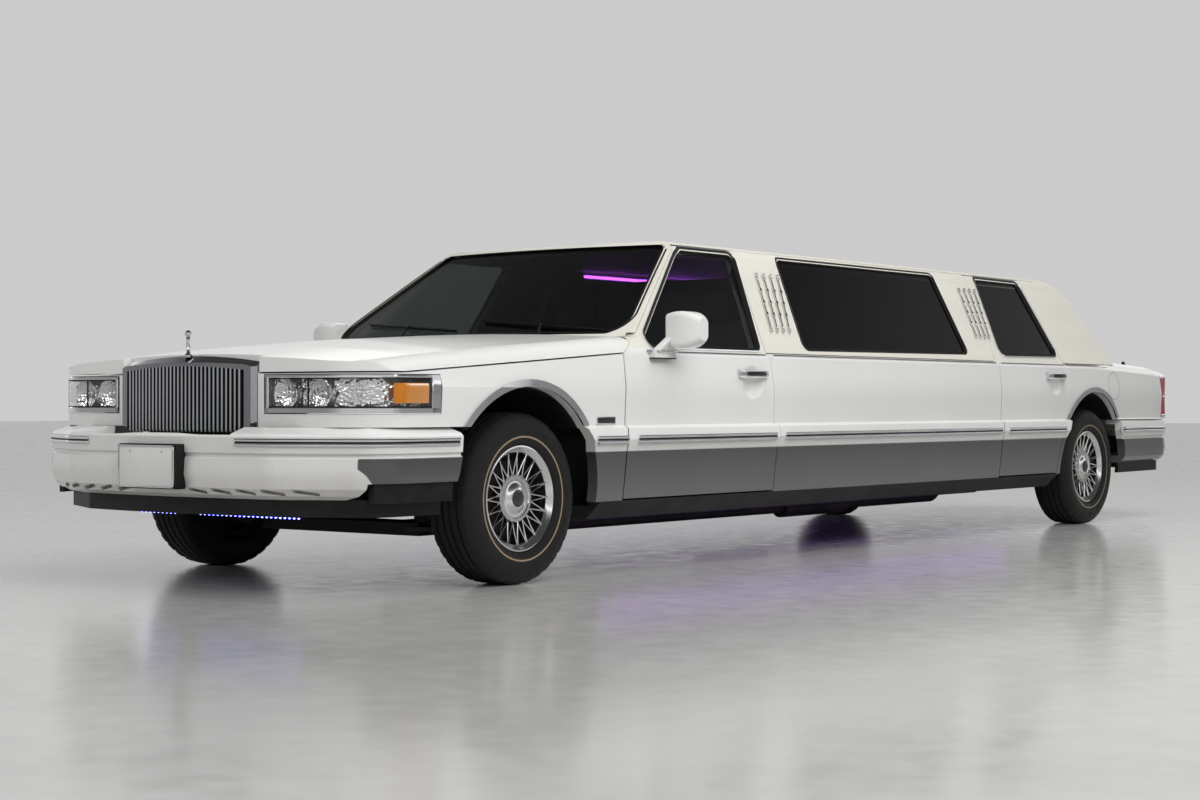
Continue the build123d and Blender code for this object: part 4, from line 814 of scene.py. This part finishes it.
lens_rail(0.7985, 0.0065)
lens_rail(0.6725, 0.0115)
lens_post(12.5, 0.665, 0.800, 0.0075)
lens_post(74.6, 0.665, 0.800, 0.024)
lamp_frame.mark = 1
lens_rail(0.7895, 0.0022, 0.002)
lens_rail(0.6860, 0.0022, 0.002)
for mark, x, y in ((0, 3.500, 0.719), (1, 3.56, 0.576)):
    lamp_frame.mark = mark
    angle = math.degrees(math.atan2(y - LAMP_MIDDLE[1], x - LAMP_MIDDLE[0]))
    lens_post(angle, 0.688, 0.788, 0.0035, 0.003)
both_sides(lamp_frame, "lamp_frame", "car", "chrome", CHROME, GASKET)
BOWL = [
    (-0.002, 0.060), (0.0250, 0.060), (0.0265, 0.0575), (0.020, 0.050), (0.011, 0.034),
    (0.006, 0.018), (0.006, 0.010), (0.020, 0.009), (0.024, 0.004),
]
bowls = Piece()
for angle in (21.5, 36.0):
    foot, _ = hit(housing_tree, *corner_ray(LAMP_MIDDLE, angle, 0.733))
    bowls.lathe(BOWL, foot, AHEAD, 36)
both_sides(bowls, "lamp_bowls", "car", "chrome", REFLECTOR)
amber = Piece()
rows = []
for x in spaced(3.470, 3.310, 12):
    rows.append([hit(lens_tree, (x, RAY_REACH, z), RIGHT) for z in spaced(0.700, 0.772, 6)])
for out in (0.0022, 0.0004):
    amber.grid([[p + n * out for p, n in row] for row in rows])
for end in (0, -1):
    amber.grid([[p + n * out for p, n in (row[end] for row in rows)] for out in (0.0022, 0.0)])
both_sides(amber, "side_marker", "car", "clear_lamp", AMBER)

# Number plate: black holder, plain white plate, thin frame and two screws
plate = Piece()
plate.block((3.800, -0.158, 0.384), (3.8525, 0.158, 0.550), 0.004, 3)
plate.mark = 1
plate.block((3.850, -0.150, 0.392), (3.8560, 0.150, 0.541), 0.0015)
plate.mark = 2
for low, high in (
    ((-0.154, 0.388), (0.154, 0.395)), ((-0.154, 0.538), (0.154, 0.545)),
    ((-0.154, 0.388), (-0.147, 0.545)), ((0.147, 0.388), (0.154, 0.545)),
):
    plate.block((3.8515, *low), (3.8590, *high), 0.0012)
for y in (-0.089, 0.089):
    plate.lathe([(0.0, 0.006), (0.0015, 0.006), (0.0028, 0.003)], (3.8558, y, 0.522), AHEAD, 16)
holder = plate.build("plate_holder", "car", "black_plastic", BLACK, PLATE, CHROME)
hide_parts("plate_bracket")

# Tail: bright frames round the lamps, the reflector across the lid and its bright borders
tail = Piece()
tail_tree = tree_of("taillamps")
lid_tree = tree_of("trunk_lid")
for z, half in ((0.622, 0.007), (0.740, 0.004), (0.858, 0.007)):
    tail.sweep(*corner_line(tail_tree, (-3.2, 0.3), 108.0, 151.0, z, 30), flat_band(half))
both_sides(tail, "taillamp_frame", "car", "chrome", CHROME)


def lid_line(half, z):
    """Points and normals across the lid's back face at one height."""
    return trace(lid_tree, [((-4.6, y, z), AHEAD) for y in spaced(-half, half, 40)])


lid_reflector = Piece()
lid_reflector.mark = 1
face_rows = []
for z, out in zip(spaced(0.700, 0.800, 4), (0.0005, 0.004, 0.004, 0.004, 0.0005)):
    face_rows.append([p + n * out for p, n in zip(*lid_line(0.66, z))])
lid_reflector.grid(face_rows)
lid_reflector.mark = 0
for z in (0.697, 0.803):
    lid_reflector.sweep(*lid_line(0.67, z), flat_band(0.005))
lid_reflector.build("lid_reflector", "trunk_lid", "red_lamp", CHROME, RED)

# Bases of the aerials, on the deck and on the roof
bases = Piece()
place, _ = hit(FLANK["quarter"], (-3.114, 0.80, 1.6), DOWN)
bases.lathe([(-0.002, 0.020), (0.004, 0.019), (0.009, 0.012), (0.020, 0.008), (0.024, 0.004)], place, UP, 16)
place, _ = hit(FLANK["roof"], (-1.62, 0.0, 1.8), DOWN)
bases.lathe([(-0.002, 0.030), (0.002, 0.029), (0.0035, 0.020)], place, UP, 20)
bases.build("aerial_bases", "car", "black_plastic", BLACK)

# Wipers on the windshield's foot
SCREEN_X = 3.2  # rays at the windshield start here
BLADE = [(-0.0035, -0.007), (-0.0045, 0.004), (0.0, 0.007), (0.0045, 0.004), (0.0035, -0.007)]
screen_tree = tree_of("windshield", "roof", "cowl")
wipers = Piece()
for y_start, z_start, y_end, z_end, pivot in (
    (0.76, 0.994, 0.10, 1.050, 0.50),
    (0.00, 1.006, -0.66, 1.052, -0.26),
):
    places = zip(spaced(y_start, y_end, 14), spaced(z_start, z_end, 14))
    points, normals = trace(screen_tree, [((SCREEN_X, y, z), BACK) for y, z in places])
    blade = [p + n * 0.010 for p, n in zip(points, normals)]
    wipers.sweep(blade, normals, BLADE)
    start, _ = hit(screen_tree, (SCREEN_X, pivot, 0.985), BACK)
    wipers.tube([
        start + Vector((0.02, 0, 0.002)),
        start.lerp(blade[7], 0.5) + Vector((0.016, 0, 0.010)),
        blade[7] + Vector((0.004, 0, 0.006)),
    ], 0.006)
wipers.build("wipers", "car", "black_plastic", BLACK)

# Interior mirror
inside = Piece()
turn = Matrix.Rotation(math.radians(10), 3, "Z")
inside.block((1.385, -0.105, 1.235), (1.405, 0.105, 1.290), 0.008, 3, turn)
inside.mark = 1
inside.block((1.381, -0.098, 1.241), (1.390, 0.098, 1.284), 0.003, 2, turn)
inside.mark = 0
place, _ = hit(screen_tree, (SCREEN_X, 0.0, 1.345), BACK)
inside.tube([Vector((1.40, 0, 1.275)), place - Vector((0.012, 0, 0))], 0.006)
inside.build("inside_mirror", "car", "black_plastic", BLACK, SILVER)

# Show lights: a violet tube along each sill and in the cabin, and blue diodes under the nose
sill_tube = Piece()
sill_tube.tube([Vector((x, 0.62, 0.2450)) for x in spaced(1.90, -1.90, 10)], 0.008, 10)
sill_tube.mark = 1
for x in spaced(1.85, -1.85, 5):
    sill_tube.block((x - 0.01, 0.610, 0.2400), (x + 0.01, 0.630, 0.2740), 0.001)
both_sides(sill_tube, "sill_tube", "car", "clear_lamp", PURPLE, BLACK)
cabin_tube = Piece()
cabin_tube.tube([Vector((x, -0.600, 1.350)) for x in spaced(0.44, -0.85, 10)], 0.007, 10)
cabin_tube.build("cabin_tube", "car", "clear_lamp", CABIN_PURPLE)
DIODE_X, DIODE_Z = 3.500, 0.2748
DIODE = [(-0.001, 0.0048), (0.004, 0.0044), (0.0065, 0.002)]
diodes = Piece()
diodes.block((DIODE_X - 0.012, -0.47, 0.2745), (DIODE_X + 0.012, 0.47, 0.2825), 0.002)
for y in (-0.40, 0.40):
    diodes.block((DIODE_X - 0.008, y - 0.010, 0.278), (DIODE_X + 0.008, y + 0.010, 0.396), 0.002)
diodes.mark = 1
for i in range(37):
    y = -0.44 + 0.0244 * i
    if not -0.225 < y < -0.105:
        diodes.lathe(DIODE, (DIODE_X, y, DIODE_Z), (0.3, 0, -1), 10)
diodes.build("nose_diodes", "car", "clear_lamp", BLACK, BLUE)

# Tyres and laced wheels, with profiles of (outwards, radius) about the Y axis
TYRE_SEGMENTS = 144
TYRE_SIDE = [
    (0.090, 0.2065), (0.0985, 0.2120), (0.1035, 0.2220), (0.1080, 0.2345), (0.1093, 0.2350),
    (0.1096, 0.2420), (0.1090, 0.2425), (0.1115, 0.2580), (0.1120, 0.2740), (0.1100, 0.2920),
    (0.1040, 0.3080), (0.0975, 0.3180), (0.0890, 0.3255), (0.0800, 0.3298),
]
BAND_ROW = 4  # the tan band lies between this point of the side and the next
TREAD = [
    (0.0790, 0.3300), (0.0580, 0.3316), (0.0565, 0.3250), (0.0500, 0.3250), (0.0485, 0.3318),
    (0.0215, 0.3320), (0.0200, 0.3252), (0.0135, 0.3252), (0.0120, 0.3320),
]
SHOULDER = range(11, 15)  # the points of side and tread that the shoulder's cuts lower
BEAD_FOOT = [(-0.088, 0.2050), (0.088, 0.2050)]
RIM_BARREL = [(-0.090, 0.2050), (-0.090, 0.1850), (-0.060, 0.1790)]
RIM_FACE = [
    (-0.060, 0.1790), (0.058, 0.1790), (0.0720, 0.1765), (0.0780, 0.1790), (0.0840, 0.1880),
    (0.0900, 0.1935), (0.0945, 0.1990), (0.0930, 0.2045), (0.0880, 0.2058), (-0.090, 0.2050),
]
HUB = [
    (0.046, 0.094), (0.066, 0.094), (0.0700, 0.0915), (0.0700, 0.0800), (0.0660, 0.0770),
    (0.0655, 0.0640), (0.0700, 0.0560), (0.0760, 0.0450), (0.0790, 0.0360), (0.0795, 0.0340),
]
HUB_CAP = [(0.0790, 0.0335), (0.0815, 0.0330), (0.0835, 0.0290), (0.0840, 0.0100)]
DRUM_FACE = [(-0.030, 0.178), (0.020, 0.178), (0.030, 0.166), (0.034, 0.120), (0.030, 0.060)]
SPOKE_COUNT = 20


def wheel_pieces(axle_x, track):
    """The tyre and the rim of a left-hand wheel."""
    foot = Vector((axle_x, track, WHEEL_Z))

    def radial(angle, radius, out):
        return foot + Vector((math.sin(angle) * radius, out, math.cos(angle) * radius))

    half = TYRE_SIDE + TREAD
    profile = half + [(-a, r) for a, r in reversed(half)]
    lowered = {*SHOULDER, *(len(profile) - 1 - i for i in SHOULDER)}

    def cuts(i, j):
        return -0.0045 if i in lowered and j % 4 == 0 else 0.0

    tyre = Piece()
    tyre.lathe(profile + BEAD_FOOT + profile[:1], foot, LEFT, TYRE_SEGMENTS, cuts, caps=False)
    band = slice(BAND_ROW * TYRE_SEGMENTS, (BAND_ROW + 1) * TYRE_SEGMENTS)
    tyre.marks[band] = [1] * TYRE_SEGMENTS
    rim = Piece()
    # The inner barrel takes the dark iron, as painted shade inside the wheel.
    rim.mark = 2
    rim.lathe(RIM_BARREL, foot, LEFT, 96, caps=False)
    rim.mark = 0
    rim.lathe(RIM_FACE, foot, LEFT, 96, caps=False)
    # Hub ring with notches and polished dome
    rim.lathe(HUB, foot, LEFT, 80, lambda i, j: -0.004 if i in (1, 2) and j % 4 == 0 else 0.0)
    for k in range(SPOKE_COUNT):
        rise = 2 * math.pi * k / SPOKE_COUNT
        for lean in (-1, 1):
            start = radial(rise, 0.1800, 0.0740 + 0.0015 * lean)
            end = radial(rise + lean * math.radians(9), 0.0915, 0.0610 + 0.0015 * lean)
            middle = start.lerp(end, 0.5) + Vector((0, -0.002, 0))
            rim.sweep([start, middle, end], [Vector(LEFT)] * 3, oval(0.0038, 0.0062))
    # Nuts and drum behind the spokes in dark iron, partly their own colour and partly painted shade, and the
    # plain black cap
    rim.mark = 2
    for k in range(SPOKE_COUNT):
        place = radial(2 * math.pi * (k + 0.5) / SPOKE_COUNT, 0.1500, 0.0300)
        rim.lathe([(0.0, 0.006), (0.006, 0.006), (0.009, 0.003)], place, LEFT, 8)
    rim.lathe(DRUM_FACE, foot, LEFT, 64)
    rim.mark = 1
    rim.lathe(HUB_CAP, foot, LEFT, 40)
    return tyre, rim


for row, axle_x, track in AXLES:
    tyre, rim = wheel_pieces(axle_x, track)
    for side_name, side in SIDES.items():
        corner = f"{row}_{side_name}"
        built = tyre.build(f"tread_{corner}", f"wheel_{corner}", "tyre_rubber", RUBBER, TAN, side=side)
        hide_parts(f"tyre_{corner}")
        built = rim.build(
            f"lace_{corner}", f"wheel_{corner}", "polished_alloy", ALLOY, DARK, DRUM_AND_SHADE, side=side
        )
        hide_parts(f"rim_{corner}")


# Seats: crowned pads with sewn channels
def pad(piece, centre, size, turn=None, channels=0, along=0, crown=0.018, steps=14):
    """A closed pad: rounded box, crowned on every face, its sides pulled in between the corners.

    channels is the number of sewn channels, which follow one another along the axis numbered along.
    """
    half = [s / 2 for s in size]
    thin = half.index(min(half))
    wide = [k for k in range(3) if k != thin]
    radius = min(half) * 0.62
    bm = bmesh.new()
    bmesh.ops.create_cube(bm, size=2.0)
    bmesh.ops.subdivide_edges(bm, edges=bm.edges[:], cuts=steps, use_grid_fill=True)
    bm.verts.index_update()
    verts = []
    for v in bm.verts:
        u = list(v.co)
        p = Vector([u[k] * half[k] for k in range(3)])
        core = Vector([max(-half[k] + radius, min(half[k] - radius, p[k])) for k in range(3)])
        away = p - core
        q = core + (away.normalized() * radius if away.length > 1e-6 else away)
        swell = (1 - u[wide[0]] ** 2) * (1 - u[wide[1]] ** 2)
        if abs(u[thin]) > 0.2:
            q[thin] += math.copysign(crown * swell, u[thin])
        for k, across in (wide, wide[::-1]):
            pull = crown * 0.35 * (1 - u[across] ** 2) * abs(u[k]) ** 6
            q[k] -= math.copysign(pull, u[k])
        if abs(u[thin]) > 0.9:
            for c in range(channels):
                near = (u[along] - (-1 + 2 * (c + 1) / (channels + 1))) / 0.035
                q[thin] -= math.copysign(0.007 * math.exp(-near * near), u[thin])
        verts.append((turn @ q if turn else q) + Vector(centre))
    piece.put(verts, [[v.index for v in f.verts] for f in bm.faces])
    bm.free()


lean_back = Matrix.Rotation(math.radians(-17.1), 3, "Y")
for side_name, side in SIDES.items():
    seat = Piece()
    pad(seat, (1.165, 0.395, 0.515), (0.50, 0.52, 0.145), channels=5, along=0, steps=22)
    pad(seat, (0.812, 0.395, 0.815), (0.125, 0.52, 0.56), lean_back, channels=5, along=2, steps=22)
    pad(seat, (0.768, 0.395, 1.155), (0.068, 0.25, 0.145), crown=0.010)
    seat.mark = 1
    seat.block((0.90, 0.175, 0.2845), (1.34, 0.615, 0.450), 0.02, 3)
    for y in (0.335, 0.455):
        seat.tube([Vector((0.775, y, 1.050)), Vector((0.768, y, 1.110))], 0.006)
    built = seat.build(f"front_seat_{side_name}", "car", "seat_leather", LEATHER, BLACK, side=side)
    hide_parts("front_seats")
bench = Piece()
lean_back = Matrix.Rotation(math.radians(-13), 3, "Y")
for y in (-0.41, 0.0, 0.41):
    pad(bench, (-2.215, y, 0.590), (0.47, 0.405, 0.165), channels=2, along=1, steps=16)
    pad(bench, (-2.475, y, 0.865), (0.120, 0.405, 0.46), lean_back, channels=3, along=2, steps=16)
bench.mark = 1
bench.block((-2.45, -0.600, 0.483), (-2.00, 0.600, 0.530), 0.01)
built = bench.build("rear_bench", "car", "seat_leather", LEATHER, BLACK)
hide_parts("rear_seats")
side_seat = Piece()
for x in (-0.565, -0.130, 0.305):
    pad(side_seat, (x, -0.565, 0.560), (0.43, 0.46, 0.150), channels=2, along=0, steps=16)
    pad(side_seat, (x, -0.790, 0.765), (0.43, 0.110, 0.265), channels=2, along=0, steps=16)
side_seat.mark = 1
side_seat.block((-0.780, -0.845, 0.2845), (0.520, -0.345, 0.500), 0.012)
built = side_seat.build("side_bench", "car", "seat_leather", LEATHER, BLACK)

# Floor, light and camera
floor_mesh = bpy.data.meshes.new("floor")
floor_mesh.from_pydata([(-60, -60, 0), (60, -60, 0), (60, 60, 0), (-60, 60, 0)], [], [(0, 1, 2, 3)])
floor = new_object("floor", floor_mesh)
s = Shader("studio_floor")
s.set(Base_Color=s.mix(s.ramp(s.noise(1.6, 6.0), 0.3, 0.7), (0.47, 0.465, 0.455), (0.52, 0.515, 0.50)))
s.set(Roughness=s.ramp(s.noise(9.0), 0.3, 0.7, 0.13, 0.20))
floor_mesh.materials.append(s.mat)

# The world lights the car at one low level. What shows and mirrors is bright near the horizon and
# darker overhead. Mirrored rays also meet two dark flags, where the flat bright faces of the nose
# and the flank mirror, and a bright ring a little above the horizon.
WORLD_LIGHT = 0.34
FLAG_HEADING = (0.788, -0.616, 0.0)
world = bpy.data.worlds.new("studio")
bpy.context.scene.world = world
world.use_nodes = True
sky = Nodes(world.node_tree)
path = sky.add("LightPath").outputs
mirrored = path["Is Glossy Ray"]
seen = sky.math("MAXIMUM", path["Is Camera Ray"], mirrored)
seen = sky.math("MAXIMUM", seen, path["Is Transmission Ray"])
heading = sky.add("TexCoord").outputs["Generated"]
height = sky.add("SeparateXYZ", {"Vector": heading}).outputs["Z"]
across = sky.add("VectorMath", {0: heading, 1: FLAG_HEADING}, operation="DOT_PRODUCT").outputs["Value"]
flags = sky.ramp(sky.math("MULTIPLY", across, across), 0.45, 0.90, 0.0, 0.55)
flags = sky.math("MULTIPLY", flags, mirrored)
level = sky.ramp(height, 0.24, 0.52, 0.60, 0.07)
level = sky.math("MULTIPLY", level, sky.math("SUBTRACT", 1.0, flags))
ring = sky.math("MULTIPLY", sky.ramp(height, 0.20, 0.25), sky.ramp(height, 0.36, 0.31))
level = sky.math("ADD", level, sky.math("MULTIPLY", ring, mirrored))
back = world.node_tree.nodes["Background"]
sky.feed(back.inputs["Strength"], sky.ramp(seen, 0.0, 1.0, WORLD_LIGHT, level))
sky.feed(back.inputs["Color"], (1, 1, 1))


def aim(thing, direction):
    """Turns a lamp or the camera towards a direction."""
    thing.rotation_mode = "QUATERNION"
    thing.rotation_quaternion = direction.to_track_quat("-Z", "Y")


for name, place, target, size, power in (
    ("key_softbox", (4.0, 6.5, 5.0), (0.5, 0, 0.6), (7, 3), 325),
    ("top_softbox", (-0.5, 2.6, 6.0), (0, 0.3, 0.6), (9, 3), 215),
    ("nose_softbox", (9.5, -3.0, 4.0), (3, 0, 0.6), (4, 3), 150),
):
    light = bpy.data.lights.new(name, "AREA")
    light.shape = "RECTANGLE"
    light.size, light.size_y = size
    light.energy = power
    lamp = new_object(name, light)
    lamp.location = place
    aim(lamp, Vector(target) - Vector(place))
    lamp.visible_glossy = False

camera_data = bpy.data.cameras.new("camera")
camera_data.sensor_width, camera_data.lens = 36.0, 62.73
camera_data.clip_start, camera_data.clip_end = 0.1, 200
camera = new_object("camera", camera_data)
bpy.context.scene.camera = camera
camera.location = (8.968, 6.034, 0.701)
yaw, pitch = math.radians(217.467), math.radians(0.076)
flat = math.cos(pitch)
aim(camera, Vector((math.cos(yaw) * flat, math.sin(yaw) * flat, math.sin(pitch))))

bpy.context.scene.view_settings.view_transform = "Standard"
